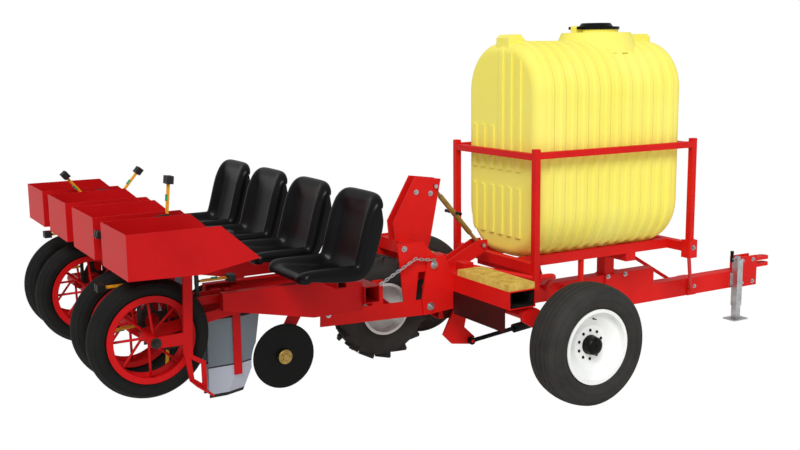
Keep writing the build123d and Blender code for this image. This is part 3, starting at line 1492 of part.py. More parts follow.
# Shoes: a sheet wedge, open at the rear, hollowed in front to clear the coulter
with BuildPart() as shoes:
    for row in SIDES.values():
        y = row * ROW_Y
        sections = []
        for height, back in SHOE_RAKE:
            nose = SHOE_NOSE - back
            with BuildSketch(Plane.XY.offset(height)) as section:
                with BuildLine():
                    Polyline(
                        (SHOE_REAR, y - SHOE_HALF_W),
                        (nose - 110, y - SHOE_HALF_W),
                        (nose, y - 8),
                        (nose, y + 8),
                        (nose - 110, y + SHOE_HALF_W),
                        (SHOE_REAR, y + SHOE_HALF_W),
                        (SHOE_REAR, y + SHOE_HALF_W - SHOE_WALL),
                        (nose - 112, y + SHOE_HALF_W - SHOE_WALL),
                        (nose - 40, y + 8),
                        (nose - 40, y - 8),
                        (nose - 112, y - SHOE_HALF_W + SHOE_WALL),
                        (SHOE_REAR, y - SHOE_HALF_W + SHOE_WALL),
                        close=True,
                    )
                make_face()
            sections.append(section.sketch)
        loft(sections, ruled=True)
    cross_pin(
        (COULTER_X, COULTER_Z),
        (-2 * ROW_Y, 2 * ROW_Y),
        COULTER_R + COULTER_CLEAR,
        mode=Mode.SUBTRACT,
    )
save(shoes, "shoes")

for name, row in SIDES.items():
    hub = (COULTER_X, row * ROW_Y, COULTER_Z)
    with BuildPart() as coulter:
        turned(
            hub,
            [
                (COULTER_PIN_R + PIN_GAP, -26),
                (COULTER_HUB_R, -26),
                (COULTER_HUB_R, -COULTER_T / 2),
                (COULTER_R - 12, -COULTER_T / 2),
                (COULTER_R, -0.5),
                (COULTER_R, 0.5),
                (COULTER_R - 12, COULTER_T / 2),
                (COULTER_HUB_R, COULTER_T / 2),
                (COULTER_HUB_R, 26),
                (COULTER_PIN_R + PIN_GAP, 26),
            ],
        )
    save(coulter, f"coulter_{name}")

with BuildPart() as coulter_arms:
    for row in SIDES.values():
        inner = row * (ROW_Y - BEAM_OFFSET)
        slab(
            inner,
            PLATE,
            [
                (COULTER_X - 40, COULTER_Z - 35),
                (COULTER_X + 40, COULTER_Z - 35),
                (ROW_BEAM_KNEE + 90, ROW_BEAM_LOW),
                (ROW_BEAM_KNEE, ROW_BEAM_LOW),
            ],
        )
        cross_pin((COULTER_X, COULTER_Z), (inner, row * (ROW_Y + 26)), COULTER_PIN_R)
save(coulter_arms, "coulter_arms")

# Drive wheel

hub = (DRIVE_X, 0, DRIVE_Z)
with BuildPart() as drive_tyre:
    casing_r = DRIVE_R - DRIVE_LUG
    lugs = []
    for lug in range(2 * DRIVE_LUGS):
        side = 1 if lug % 2 else -1
        turn = math.radians(lug * 180 / DRIVE_LUGS)
        lean = math.radians(DRIVE_LUG_LEAN)
        out = Vector(math.cos(turn), 0, math.sin(turn))
        along = Vector(-math.sin(turn), 0, math.cos(turn)) * side
        length = Vector(0, 1, 0) * math.cos(lean) + along * math.sin(lean)
        place = Vector(*hub) + out * (casing_r - 2 * DRIVE_CROWN) + Vector(0, side * DRIVE_LUG_Y, 0)
        lugs.append(Plane(place, x_dir=length, z_dir=out))
    with Locations(*lugs):
        Box(DRIVE_LUG_L, DRIVE_LUG_W, 2 * DRIVE_CROWN + DRIVE_LUG, align=UP)
    tyre(
        hub,
        casing_r,
        DRIVE_HALF_W,
        DRIVE_BEAD_R,
        DRIVE_FLANGE_R + PLATE_GAP,
        DRIVE_RIM_HALF_W,
        DRIVE_TREAD_HALF_W,
        DRIVE_CROWN,
    )
save(drive_tyre, "drive_tyre")

with BuildPart() as drive_rim:
    turned(
        hub,
        [
            (DRIVE_BEAD_R - RIM_WALL, -DRIVE_RIM_HALF_W - RIM_WALL),
            (DRIVE_FLANGE_R, -DRIVE_RIM_HALF_W - RIM_WALL),
            (DRIVE_FLANGE_R, -DRIVE_RIM_HALF_W - 4),
            (DRIVE_BEAD_R, -DRIVE_RIM_HALF_W),
            (DRIVE_BEAD_R, DRIVE_RIM_HALF_W),
            (DRIVE_FLANGE_R, DRIVE_RIM_HALF_W + 4),
            (DRIVE_FLANGE_R, DRIVE_RIM_HALF_W + RIM_WALL),
            (DRIVE_BEAD_R - RIM_WALL, DRIVE_RIM_HALF_W + RIM_WALL),
        ],
    )
    turned(
        hub,
        [
            (DRIVE_AXLE_R + PIN_GAP, -DRIVE_RIM_HALF_W),
            (45, -DRIVE_RIM_HALF_W),
            (45, -30),
            (DRIVE_BEAD_R - RIM_WALL, -30),
            (DRIVE_BEAD_R - RIM_WALL, -20),
            (45, -20),
            (45, DRIVE_RIM_HALF_W),
            (DRIVE_AXLE_R + PIN_GAP, DRIVE_RIM_HALF_W),
        ],
    )
save(drive_rim, "drive_rim")

with BuildPart() as drive_arm:
    for side in SIDES.values():
        slab(
            side * DRIVE_ARM_Y,
            PLATE,
            [
                (plant_x[1], PLANT_BAR_LOW + 10),
                (plant_x[1], PLANT_BAR_TOP - 10),
                (plant_x[1] + 60, PLANT_BAR_TOP - 10),
                (DRIVE_X + 30, DRIVE_Z + 30),
                (DRIVE_X + 30, DRIVE_Z - 35),
                (DRIVE_X - 40, DRIVE_Z - 35),
            ],
        )
    cross_pin((DRIVE_X, DRIVE_Z), (-DRIVE_ARM_Y, DRIVE_ARM_Y), DRIVE_AXLE_R)
save(drive_arm, "drive_arm")
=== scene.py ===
# %% [markdown]
# # Dressing a bare root transplanter
#
# The machine is a two-row transplanter that rides, raised, behind its own water tank cart. The
# exact solids come in as a fixed frame. This lesson gives them their finishes, adds the small
# things that hardware has, such as nuts, caps, rings and grips, and draws the seats and the tank's
# guard again in a finer shape. Nothing of the frame is moved.

# %% The frame
import math

import bmesh
import bpy
from mathutils import Matrix, Vector


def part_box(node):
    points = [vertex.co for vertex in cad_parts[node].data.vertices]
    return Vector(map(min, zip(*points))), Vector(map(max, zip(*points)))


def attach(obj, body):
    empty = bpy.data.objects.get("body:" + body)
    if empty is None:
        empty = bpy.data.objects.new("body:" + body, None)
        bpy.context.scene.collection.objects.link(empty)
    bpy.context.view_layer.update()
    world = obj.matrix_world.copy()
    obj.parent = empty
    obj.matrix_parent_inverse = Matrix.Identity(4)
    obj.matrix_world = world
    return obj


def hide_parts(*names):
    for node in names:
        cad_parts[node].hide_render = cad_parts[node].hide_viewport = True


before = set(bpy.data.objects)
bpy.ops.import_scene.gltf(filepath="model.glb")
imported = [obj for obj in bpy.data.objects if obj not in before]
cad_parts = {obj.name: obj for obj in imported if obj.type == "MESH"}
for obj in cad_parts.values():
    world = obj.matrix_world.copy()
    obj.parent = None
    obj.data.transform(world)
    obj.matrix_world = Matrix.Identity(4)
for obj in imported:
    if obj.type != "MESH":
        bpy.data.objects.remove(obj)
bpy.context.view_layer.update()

MM = 0.001
scene = bpy.context.scene

# %% [markdown]
# ## The view
#
# A camera could be placed by eye, but a view that was measured is a fixed ruler for the scene. The
# place and the three turns below are where the photographer stood: a little above head height, well
# out on the machine's right, just behind its tail, looking slightly down. The camera's axes are
# built from the turns, so the roll is exact.

# %% Camera
CAMERA_PLACE = Vector((-4.07125, -5.894, 2.221))
CAMERA_YAW = math.radians(30.109)
CAMERA_PITCH = math.radians(9.587)
CAMERA_ROLL = math.radians(0.696)
CAMERA_LENS = 46.706

forward = Vector((
    math.sin(CAMERA_YAW) * math.cos(CAMERA_PITCH),
    math.cos(CAMERA_YAW) * math.cos(CAMERA_PITCH),
    -math.sin(CAMERA_PITCH),
))
level = Vector((math.cos(CAMERA_YAW), -math.sin(CAMERA_YAW), 0))
down = forward.cross(level)
across = level * math.cos(CAMERA_ROLL) + down * math.sin(CAMERA_ROLL)
drop = down * math.cos(CAMERA_ROLL) - level * math.sin(CAMERA_ROLL)

camera_data = bpy.data.cameras.new("camera")
camera_data.lens = CAMERA_LENS
camera = bpy.data.objects.new("camera", camera_data)
scene.collection.objects.link(camera)
turn = Matrix((across, -drop, -forward)).transposed()
camera.matrix_world = Matrix.Translation(CAMERA_PLACE) @ turn.to_4x4()
scene.camera = camera
scene.view_settings.view_transform = "Standard"
print("camera looks along", [round(c, 3) for c in forward])

# %% [markdown]
# ## Nodes and colours
#
# Every finish below is a small tree of shader nodes. The trees could be drawn by hand in the shader
# editor, but written down they can be read and made again. One function adds any node with its
# settings and its links. One turns the sRGB hex colours that a paint chart gives into the linear
# colours that a shader works with, and one turns a size on the machine into a texture's scale.

# %% Helpers for materials


def linear(hex_colour):
    """An sRGB hex colour as linear red, green, blue and alpha."""
    channels = [int(hex_colour[i : i + 2], 16) / 255 for i in (1, 3, 5)]
    bent = [c / 12.92 if c <= 0.04045 else ((c + 0.055) / 1.055) ** 2.4 for c in channels]
    return (*bent, 1)


def add(tree, kind, sockets=None, links=None, **settings):
    """Add one node with its settings, its sockets' values and its links, input: (node, output)."""
    node = tree.nodes.new(kind)
    for name, value in settings.items():
        setattr(node, name, value)
    for name, value in (sockets or {}).items():
        node.inputs[name].default_value = value
    for name, (source, output) in (links or {}).items():
        tree.links.new(source.outputs[output], node.inputs[name])
    return node


def per_mm(size):
    """The texture scale whose features are about the given size in millimetres."""
    return 1 / (size * MM)


print("red enamel in linear light:", [round(c, 3) for c in linear("#C80D12")])

# %% [markdown]
# ## A finish with some life
#
# Real finishes are never one flat colour. Most of those here are a colour that drifts a little over
# hand-sized patches, with a gloss that drifts as well and a faint bump from how the surface was
# made: orange peel on sprayed enamel, grain on moulded plastic. An image could be wrapped round
# each piece, but noise has no seams and needs no unwrapping. One function lays down the colour, the
# gloss and the bump, and each finish names its own sizes. The soft bevel rounds every sharp edge
# for the light, as rolled and welded steel has no knife edges.

# %% Finish maker
# Where the two colours stand on the scale of the noise, from 0 to 1
RAMP_LOW = 0.3
RAMP_HIGH = 0.7
BEVEL_SAMPLES = 4


def finish(name, low, high, patch, gloss, grain, bump, edge=2.0, **sockets):
    """A material whose colour and gloss drift between two values, with a fine bump.

    Patch and grain are sizes, bump is a height and edge is the rounding of edges, all in mm.
    """
    material = bpy.data.materials.new(name)
    material.use_nodes = True
    tree = material.node_tree
    tree.nodes.clear()
    place = add(tree, "ShaderNodeTexCoord")
    drift = add(
        tree,
        "ShaderNodeTexNoise",
        {"Scale": per_mm(patch), "Detail": 4, "Roughness": 0.6},
        {"Vector": (place, "Object")},
    )
    colour = add(tree, "ShaderNodeValToRGB", links={"Fac": (drift, "Fac")})
    colour.color_ramp.elements[0].position = RAMP_LOW
    colour.color_ramp.elements[0].color = linear(low)
    colour.color_ramp.elements[1].position = RAMP_HIGH
    colour.color_ramp.elements[1].color = linear(high)
    shine = add(
        tree,
        "ShaderNodeMapRange",
        {"To Min": gloss[0], "To Max": gloss[1]},
        {"Value": (drift, "Fac")},
    )
    fine = add(
        tree,
        "ShaderNodeTexNoise",
        {"Scale": per_mm(grain), "Detail": 2},
        {"Vector": (place, "Object")},
    )
    rounded = add(tree, "ShaderNodeBevel", {"Radius": edge * MM}, samples=BEVEL_SAMPLES)
    relief = add(
        tree,
        "ShaderNodeBump",
        {"Strength": 1, "Distance": bump * MM},
        {"Height": (fine, "Fac"), "Normal": (rounded, "Normal")},
    )
    shader = add(
        tree,
        "ShaderNodeBsdfPrincipled",
        sockets,
        {
            "Base Color": (colour, "Color"),
            "Roughness": (shine, "Result"),
            "Normal": (relief, "Normal"),
        },
    )
    add(tree, "ShaderNodeOutputMaterial", links={"Surface": (shader, "BSDF")})
    return material


print("finishes drift, shine and round their edges")

# %% [markdown]
# ## The finishes of this machine
#
# Sprayed enamel on the steel frames, polyethylene that was tumbled in a mould for the tank,
# injection moulded seats, rubber tyres, zinc plate on the loose hardware. Each could have a cell of
# its own, but short calls, one under another, let a reader compare a finish with its neighbours.
# After the name come the two colours, the size of their patches, the gloss, from 0, a mirror, to 1,
# chalk, then the grain, its height and the rounding of edges.

# %% Finishes
# A low specular level keeps the white surround off what is sprayed or moulded
dull = {"Specular IOR Level": 0.15}
# Sprayed enamel: a deep, even red with a soft shine and a faint orange peel; darker than the cart's
# red in part as painted shade for the transplanter's parts under the seats and trays
red_enamel_with_painted_shade = finish(
    "red_enamel_with_painted_shade", "#B6080C", "#C80D12", 350, (0.4, 0.55), 1.5, 0.02, 2.5, **dull
)
# The cart's coat of the same enamel: a warmer, brighter red, with none of the painted shade above
red_cart = finish(
    "red_cart_enamel", "#CE1310", "#DE1B16", 350, (0.4, 0.55), 1.5, 0.02, 2.5, **dull
)
# Painted shade: a dull brown red that stands for the shadow under the toolbar
painted_shade_red = finish(
    "red_darkened_as_painted_shade", "#330907", "#460D0A", 200, (0.6, 0.75), 1.5, 0.02, 2.5, **dull
)
# Polyethylene tumbled in a hot mould: pale yellow, waxy, with no sharp edge anywhere
tank_poly = finish(
    "tank_polyethylene", "#F8EC66", "#FBF27C", 500, (0.5, 0.62), 2, 0.06, 6, **dull
)
# Injection moulded plastic: deep black with a clear, narrow shine along its rolls
black_moulding = finish(
    "black_moulded_plastic", "#060608", "#0B0B0E", 300, (0.24, 0.34), 1.2, 0.02, 3, **dull
)
# Moulded rubber that runs on roads: a dusty grey black with almost no shine
tyre_rubber = finish(
    "tyre_rubber", "#2C2B29", "#3B3937", 180, (0.65, 0.85), 2, 0.08, 3, **dull
)
# Moulded rubber that is new and clean: as dull, and much blacker
packing_rubber = finish(
    "packing_rubber", "#0F0F0F", "#191918", 180, (0.6, 0.8), 2, 0.08, 3, **dull
)
# Zinc plate: a light grey metal whose shine is patchy
zinc_plate = finish(
    "zinc_plate", "#A6AAAD", "#D2D5D7", 60, (0.3, 0.5), 1, 0.02, 1, **{"Metallic": 1.0}
)
# Zinc plate with a yellow passivation: tan, half way between a metal and a paint
passivated = finish(
    "yellow_passivated", "#8C7434", "#B89A50", 60, (0.35, 0.5), 1, 0.02, 1, **{"Metallic": 0.5}
)
# Sprayed black enamel: so dark that only its edges and its sheen show
black_enamel = finish(
    "black_enamel", "#050505", "#0B0B0B", 200, (0.35, 0.5), 1.5, 0.02, 1, **dull
)
# Bare steel under oil and dust: a brown black metal
oiled_steel = finish(
    "oiled_steel", "#26221F", "#3D3833", 80, (0.45, 0.65), 1.5, 0.04, 1, **{"Metallic": 0.6}
)
# Sprayed white enamel: clean and bright, with a soft shine
white_enamel = finish("white_enamel", "#EDEFED", "#FAFBF9", 200, (0.35, 0.5), 1.5, 0.02, 2)
# Sprayed light grey enamel: even, and quieter than the white
grey_enamel = finish("grey_enamel", "#C4C6C4", "#DCDEDC", 150, (0.4, 0.6), 1.5, 0.02, 2)
# Enamel that boots have worn: its yellow changes within a hand's width
yellow_enamel = finish("worn_yellow_enamel", "#B8963A", "#E8C860", 70, (0.45, 0.7), 2, 0.04, 2)

FINISHES = {
    red_cart: (
        "drawbar centre_beam beam_clamp toolbar axle lift_crank guard_posts guard_rails guard_ends "
        "cradle_rails cradle_supports cradle_pipes front_struts hitch_plates clevis cart_hitch "
        "side_frames mast"
    ),
    # A red that is darkened in part as painted shade, for the transplanter's parts under seats and
    # trays
    red_enamel_with_painted_shade: (
        "plant_bar row_beams seat_bar trays packer_arms tray_legs row_brackets coulter_arms "
        "drive_arm pack_rim_1 pack_rim_2 pack_rim_3 pack_rim_4"
    ),
    # The brackets under the toolbar carry painted shade for its shadow
    painted_shade_red: "toolbar_brackets",
    tank_poly: "tank tank_neck",
    black_moulding: "seats tank_lid",
    tyre_rubber: "cart_tyre_right cart_tyre_left drive_tyre",
    packing_rubber: "pack_tyre_1 pack_tyre_2 pack_tyre_3 pack_tyre_4",
    zinc_plate: "hitch_pins check_chains jack_tube jack_leg",
    passivated: "top_link",
    black_enamel: "coulter_right coulter_left lift_cylinder",
    oiled_steel: "sprockets",
    white_enamel: "cart_rim_right cart_rim_left",
    grey_enamel: "drive_rim",
    yellow_enamel: "step_planks",
}


def paint(name, material):
    """Give a node of the frame one finish."""
    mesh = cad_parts[name].data
    mesh.materials.clear()
    mesh.materials.append(material)


for material, names in FINISHES.items():
    for name in names.split():
        paint(name, material)
painted = sum(len(names.split()) for names in FINISHES.values())
print(len(FINISHES), "finishes on", painted, "nodes")

# %% [markdown]
# ## Finishes that change along a piece
#
# Two pieces wear more than one finish. A shoe is dull sheet steel above, scoured bright where the
# soil polishes it, and black along its sole. A gripper chain is oily near its sprockets, its arms
# are painted yellow and its jaws are rubber. Cutting the pieces up would leave seams, so one number
# is worked out for every point instead, its height or its distance from the chain's run, and a
# colour ramp with hard steps turns that number into the finish.

# %% Stepped finishes
STEPPED_EDGE = 1 * MM


def stepped(name, measure, steps, rough, metallic):
    """A material whose colour steps along a measure in metres; measure gives a node's output."""
    material = bpy.data.materials.new(name)
    material.use_nodes = True
    tree = material.node_tree
    tree.nodes.clear()
    span = steps[-1][0]
    along = add(tree, "ShaderNodeMapRange", {"From Max": span}, {"Value": measure(tree)})
    colour = add(tree, "ShaderNodeValToRGB", links={"Fac": (along, "Result")})
    ramp = colour.color_ramp
    ramp.interpolation = "CONSTANT"
    ramp.elements.remove(ramp.elements[1])
    ramp.elements[0].color = linear(steps[0][1])
    for (start, _), (_, hex_colour) in zip(steps, steps[1:]):
        ramp.elements.new(start / span).color = linear(hex_colour)
    rounded = add(tree, "ShaderNodeBevel", {"Radius": STEPPED_EDGE}, samples=BEVEL_SAMPLES)
    shader = add(
        tree,
        "ShaderNodeBsdfPrincipled",
        {"Roughness": rough, "Metallic": metallic},
        {"Base Color": (colour, "Color"), "Normal": (rounded, "Normal")},
    )
    add(tree, "ShaderNodeOutputMaterial", links={"Surface": (shader, "BSDF")})
    return material


def height(tree):
    """Height above the ground."""
    place = add(tree, "ShaderNodeTexCoord")
    axes = add(tree, "ShaderNodeSeparateXYZ", links={"Vector": (place, "Object")})
    return axes, "Z"


shoe_low, shoe_high = (corner.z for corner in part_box("shoes"))
SOLE = 18 * MM
BRIGHT = 165 * MM
SEAM = 0.5 * SOLE
# Sheet steel that the soil scours: black on the sole, bright above it, dull blue grey on top
shoe_steel = stepped(
    "scoured_shoe_steel",
    height,
    (
        (shoe_low + SOLE, "#0B0B0C"),
        (shoe_low + BRIGHT, "#AFB4C2"),
        (shoe_low + BRIGHT + SEAM, "#23262A"),
        (shoe_high, "#6B767E"),
    ),
    rough=0.45,
    metallic=0.25,
)
paint("shoes", shoe_steel)

CHAIN_R = 160 * MM
# How far the link plates, the arms and the jaws reach out from the chain's pitch line
PLATES_OUT = 14 * MM
ARMS_OUT = 170 * MM
JAWS_OUT = 240 * MM
sprocket_low, sprocket_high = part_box("sprockets")
chain_x = (sprocket_low.x + sprocket_high.x) / 2
sprocket_r = (sprocket_high.x - sprocket_low.x) / 2
chain_low_z = sprocket_low.z + sprocket_r
chain_top_z = sprocket_high.z - sprocket_r


def from_chain_run(tree):
    """Distance, in the X-Z plane, from the line between the two sprockets' centres."""
    place = add(tree, "ShaderNodeTexCoord")
    axes = add(tree, "ShaderNodeSeparateXYZ", links={"Vector": (place, "Object")})
    nearest = add(
        tree, "ShaderNodeClamp", {"Min": chain_low_z, "Max": chain_top_z}, {"Value": (axes, "Z")}
    )
    foot = add(tree, "ShaderNodeCombineXYZ", {"X": chain_x}, {"Z": (nearest, "Result")})
    point = add(tree, "ShaderNodeCombineXYZ", links={"X": (axes, "X"), "Z": (axes, "Z")})
    reach = add(
        tree,
        "ShaderNodeVectorMath",
        links={0: (point, "Vector"), 1: (foot, "Vector")},
        operation="DISTANCE",
    )
    return reach, "Value"


# Oil on the links, enamel on the arms, rubber on the jaws: three colours with clean borders
gripper_finish = stepped(
    "oiled_chain_yellow_arms_rubber_jaws",
    from_chain_run,
    (
        (CHAIN_R + PLATES_OUT, "#2B2622"),
        (CHAIN_R + ARMS_OUT, "#EDA912"),
        (CHAIN_R + JAWS_OUT, "#101010"),
    ),
    rough=0.5,
    metallic=0.0,
)
paint("gripper_chains", gripper_finish)
bare = [name for name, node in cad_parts.items() if not node.data.materials]
print("stepped finishes on shoes and gripper chains; nodes left bare:", bare)

# %% [markdown]
# ## Making a piece
#
# Each piece starts as a bmesh. The tools of Edit Mode could do the same, but they need a mode and a
# selection, and a bmesh needs neither. One function closes it up, points its faces outwards, gives
# it a finish and hangs it on the body that it moves with. The bmesh is already in place, so the
# object stays at the origin.

# %% Piece maker
MERGE = 0.02 * MM


def piece(shape, name, body, material):
    """Turn a bmesh into a piece that rides a body and wears one finish."""
    bmesh.ops.remove_doubles(shape, verts=shape.verts, dist=MERGE)
    bmesh.ops.recalc_face_normals(shape, faces=shape.faces)
    mesh = bpy.data.meshes.new(name)
    shape.to_mesh(mesh)
    shape.free()
    mesh.materials.append(material)
    obj = bpy.data.objects.new(name, mesh)
    scene.collection.objects.link(obj)
    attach(obj, body)
    return obj


def middle(node):
    """The middle of a node's box."""
    low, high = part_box(node)
    return (low + high) / 2


def turned(shape, centre, outline, axis, steps=48):
    """Spin an outline of (radius, height) pairs in mm about an axis through a centre."""
    axis = Vector(axis).normalized()
    spoke = axis.orthogonal().normalized()
    ring = [shape.verts.new(centre + (spoke * out + axis * up) * MM) for out, up in outline]
    edges = [shape.edges.new(pair) for pair in zip(ring, ring[1:])]
    bmesh.ops.spin(
        shape,
        geom=ring + edges,
        cent=centre,
        axis=axis,
        angle=math.tau,
        steps=steps,
        use_merge=True,
    )


print("pieces can be made")

# %% [markdown]
# ## Nuts and bolts
#
# A bolt shows as three things: a washer, a six-sided nut with its corners turned off, and the end
# of the thread. At this distance the shadow under the washer matters more than the thread's pitch,
# so the thread is a plain stub. All the nuts of one body are gathered in one mesh, because they
# share a finish and never move apart.

# %% Nuts
NUT_PARTS = (
    # sides, then radius at the foot and at the head, start and end, all in nut widths
    (16, 1.0, 1.0, 0.0, 0.16),
    (6, 0.62, 0.57, 0.16, 0.85),
    (10, 0.3, 0.27, 0.85, 1.15),
)


def nut(shape, place, outward, across):
    """A washer, a nut and a thread end at a place, pointing outwards; across is the nut's width."""
    turn = Vector(outward).to_track_quat("Z", "Y").to_matrix().to_4x4()
    for segments, foot_r, head_r, low, high in NUT_PARTS:
        lift = Matrix.Translation((0, 0, (low + high) / 2 * across))
        bmesh.ops.create_cone(
            shape,
            cap_ends=True,
            segments=segments,
            radius1=foot_r * across,
            radius2=head_r * across,
            depth=(high - low) * across,
            matrix=Matrix.Translation(place) @ turn @ lift,
        )


SIDES = {"right": -1, "left": 1}
HUB_NUTS = 10
HUB_NUT_CIRCLE = 92 * MM
HUB_FACE = 30 * MM
HUB_NUT = 10 * MM
VALVE_CIRCLE = 172 * MM
# Outlines to spin, as radius and height in mm
VALVE = ((0, 40), (6, 40), (6, 62), (4, 66), (4, 84), (0, 85))
CAP_OUTLINE = (
    (63, 28), (62, 36), (56.5, 82), (48, 91),
    (37, 97), (12, 98), (12, 102), (0, 102),
)
for name, side in SIDES.items():
    hub = middle(f"cart_tyre_{name}")
    nuts = bmesh.new()
    for number in range(HUB_NUTS):
        angle = math.tau * (number + 0.5) / HUB_NUTS
        spoke = Vector((math.cos(angle), 0, math.sin(angle)))
        place = hub + spoke * HUB_NUT_CIRCLE + Vector((0, side * HUB_FACE, 0))
        nut(nuts, place, (0, side, 0), HUB_NUT)
    turned(nuts, hub + Vector((0, 0, VALVE_CIRCLE)), VALVE, (0, side, 0), steps=12)
    piece(nuts, f"wheel_nuts_{name}", f"cart_wheel_{name}", black_enamel)
    cap = bmesh.new()
    turned(cap, hub, CAP_OUTLINE, (0, side, 0))
    piece(cap, f"hub_cap_{name}", f"cart_wheel_{name}", black_enamel)
print("cart wheels have nuts, valves and hub caps")

# %% [markdown]
# ## Bolts of the frames
#
# The frames are plates that are bolted together, and the bolts sit at the same places on both
# sides. They could be copied about by hand, but a short table holds each bolt once: how far it is
# from the cart's axle, from the machine's middle and from the ground.

# %% Frame bolts
AXLE = middle("cart_tyre_right").x
FRAME_BOLTS = (
    # ahead of the axle, out from the middle, height, nut's width, all in mm
    (-647, 46, 1288, 18),
    (-536, 46, 1271, 18),
    (-840, 212, 951, 20),
    (-655, 229.5, 550, 27),
    (-625, 229.5, 825, 27),
    (-1395, 212, 690, 18),
    (-1395, 212, 590, 18),
    (1025, 62, 275, 18),
    (1195, 62, 275, 18),
    (1025, 62, 515, 18),
    (1195, 62, 515, 18),
    (1437, 512, 765, 18),
    (1880, 62, 330, 16),
    (1930, 62, 330, 16),
    (2485, 50, 470, 18),
    (2610, 50, 470, 18),
    (2485, 50, 285, 18),
    (2610, 50, 285, 18),
)
frame_nuts = bmesh.new()
for ahead, out, up, nut_w in FRAME_BOLTS:
    for side in SIDES.values():
        place = Vector((AXLE + ahead * MM, side * out * MM, up * MM))
        nut(frame_nuts, place, (0, side, 0), nut_w * MM)
piece(frame_nuts, "frame_nuts", "frame", zinc_plate)

PACK_WHEELS = (1, 2, 3, 4)
OUTER_WHEELS = (1, 4)
LEG_FACE = 123 * MM
AXLE_NUT = 28 * MM
axle_nuts = bmesh.new()
for number in PACK_WHEELS:
    hub = middle(f"pack_tyre_{number}")
    row_side = math.copysign(1, hub.y)
    out = row_side * (1 if number in OUTER_WHEELS else -1)
    nut(axle_nuts, hub + Vector((0, out * LEG_FACE, 0)), (0, out, 0), AXLE_NUT)
piece(axle_nuts, "packing_axle_nuts", "frame", oiled_steel)
print(2 * len(FRAME_BOLTS), "frame nuts and", len(PACK_WHEELS), "axle nuts")

# %% [markdown]
# ## Side walls
#
# A moulded tyre has raised rings on its side walls, where the mould's plates met and where the wall
# is thickened against kerbs. The wall is an arc through three known points, so the rings' height
# comes from that circle. Each ring is a small ridge that is spun round the wheel.

# %% Side wall rings


def wall_height(points, radius):
    """Height at a radius of the circle through three (radius, height) points, in mm."""
    (ax, ay), (bx, by), (cx, cy) = points
    d = 2 * (ax * (by - cy) + bx * (cy - ay) + cx * (ay - by))
    a2, b2, c2 = ax * ax + ay * ay, bx * bx + by * by, cx * cx + cy * cy
    x = (a2 * (by - cy) + b2 * (cy - ay) + c2 * (ay - by)) / d
    y = (a2 * (cx - bx) + b2 * (ax - cx) + c2 * (bx - ax)) / d
    return y + math.sqrt((ax - x) ** 2 + (ay - y) ** 2 - (radius - x) ** 2)


RING_HALF_W = 3.5
RING_PROUD = 2.2
RING_SINK = 1
TYRE_WALLS = {
    # wall's arc as bead, widest and tread points, then the rings' radii, all in mm
    "cart": (((242, 96), (316, 130), (376, 96)), (262, 300, 348)),
    "pack": (((232, 48), (274.75, 62), (303.5, 34)), (246, 290)),
}
TYRES = {
    "cart_tyre_right": ("cart", "cart_wheel_right", tyre_rubber),
    "cart_tyre_left": ("cart", "cart_wheel_left", tyre_rubber),
    **{f"pack_tyre_{n}": ("pack", f"pack_wheel_{n}", packing_rubber) for n in PACK_WHEELS},
}
for name, (kind, body, rubber) in TYRES.items():
    arc, radii = TYRE_WALLS[kind]
    rings = bmesh.new()
    for side in SIDES.values():
        for radius in radii:
            inner, outer = radius - RING_HALF_W, radius + RING_HALF_W
            crest = wall_height(arc, radius) + RING_PROUD
            outline = [
                (inner, wall_height(arc, inner) - RING_SINK),
                (radius - RING_HALF_W / 2, crest),
                (radius + RING_HALF_W / 2, crest),
                (outer, wall_height(arc, outer) - RING_SINK),
            ]
            turned(rings, middle(name), outline, (0, side, 0), steps=96)
    piece(rings, f"{name}_rings", body, rubber)
print(len(TYRES), "tyres have side wall rings")

# %% [markdown]
# ## Coulter hubs
#
# Each disc turns on a small bearing with a plated cap that is held by a ring of bolts. A stack of
# cylinders would have hard steps, so the cap is spun from one outline like the hub caps, and it
# rides with the disc.

# %% Coulter caps
COULTER_CAP = ((42, 3.5), (42, 26), (36, 30), (22, 31), (18, 37), (8, 38), (0, 38))
CAP_BOLTS = 5
CAP_BOLT = 8 * MM
CAP_BOLT_CIRCLE = 30 * MM
CAP_FACE = 30 * MM
for name, side in SIDES.items():
    hub = middle(f"coulter_{name}")
    cap = bmesh.new()
    turned(cap, hub, COULTER_CAP, (0, side, 0), steps=32)
    for number in range(CAP_BOLTS):
        angle = math.tau * number / CAP_BOLTS
        spoke = Vector((math.cos(angle), 0, math.sin(angle))) * CAP_BOLT_CIRCLE
        nut(cap, hub + spoke + Vector((0, side * CAP_FACE, 0)), (0, side, 0), CAP_BOLT)
    piece(cap, f"coulter_cap_{name}", f"coulter_disc_{name}", passivated)
print("coulters have plated caps")

# %% [markdown]
# ## Step planks
#
# The yellow planks on the toolbar carry raised strips for a boot's grip. A bump in the finish would
# cast no shadow, so each strip is a bar with its edges rolled, and a row of them is laid along each
# plank.

# %% Plank strips
STRIPS = 5
STRIP_W = 14 * MM
STRIP_H = 3 * MM
STRIP_EDGE = 1 * MM
STRIP_END = 25 * MM
PLANK_FROM = 280 * MM


def block(shape, centre, size):
    """A block of a size about a centre."""
    place = Matrix.Translation(centre) @ Matrix.Diagonal((*size, 1))
    return bmesh.ops.create_cube(shape, matrix=place)["verts"]


def roll_edges(shape, radius):
    """Round every edge of a shape a little."""
    bmesh.ops.bevel(
        shape,
        geom=shape.edges[:],
        offset=radius,
        segments=2,
        profile=0.5,
        affect="EDGES",
        material=-1,
    )


strips = bmesh.new()
plank_low, plank_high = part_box("step_planks")
strip_l = plank_high.y - PLANK_FROM - 2 * STRIP_END
for side in SIDES.values():
    for number in range(STRIPS):
        x = plank_low.x + (number + 0.5) * (plank_high.x - plank_low.x) / STRIPS
        place = Vector((x, side * (plank_high.y + PLANK_FROM) / 2, plank_high.z))
        block(strips, place, (STRIP_W, strip_l, 2 * STRIP_H))
roll_edges(strips, STRIP_EDGE)
piece(strips, "plank_strips", "frame", yellow_enamel)
print(2 * STRIPS, "plank strips")

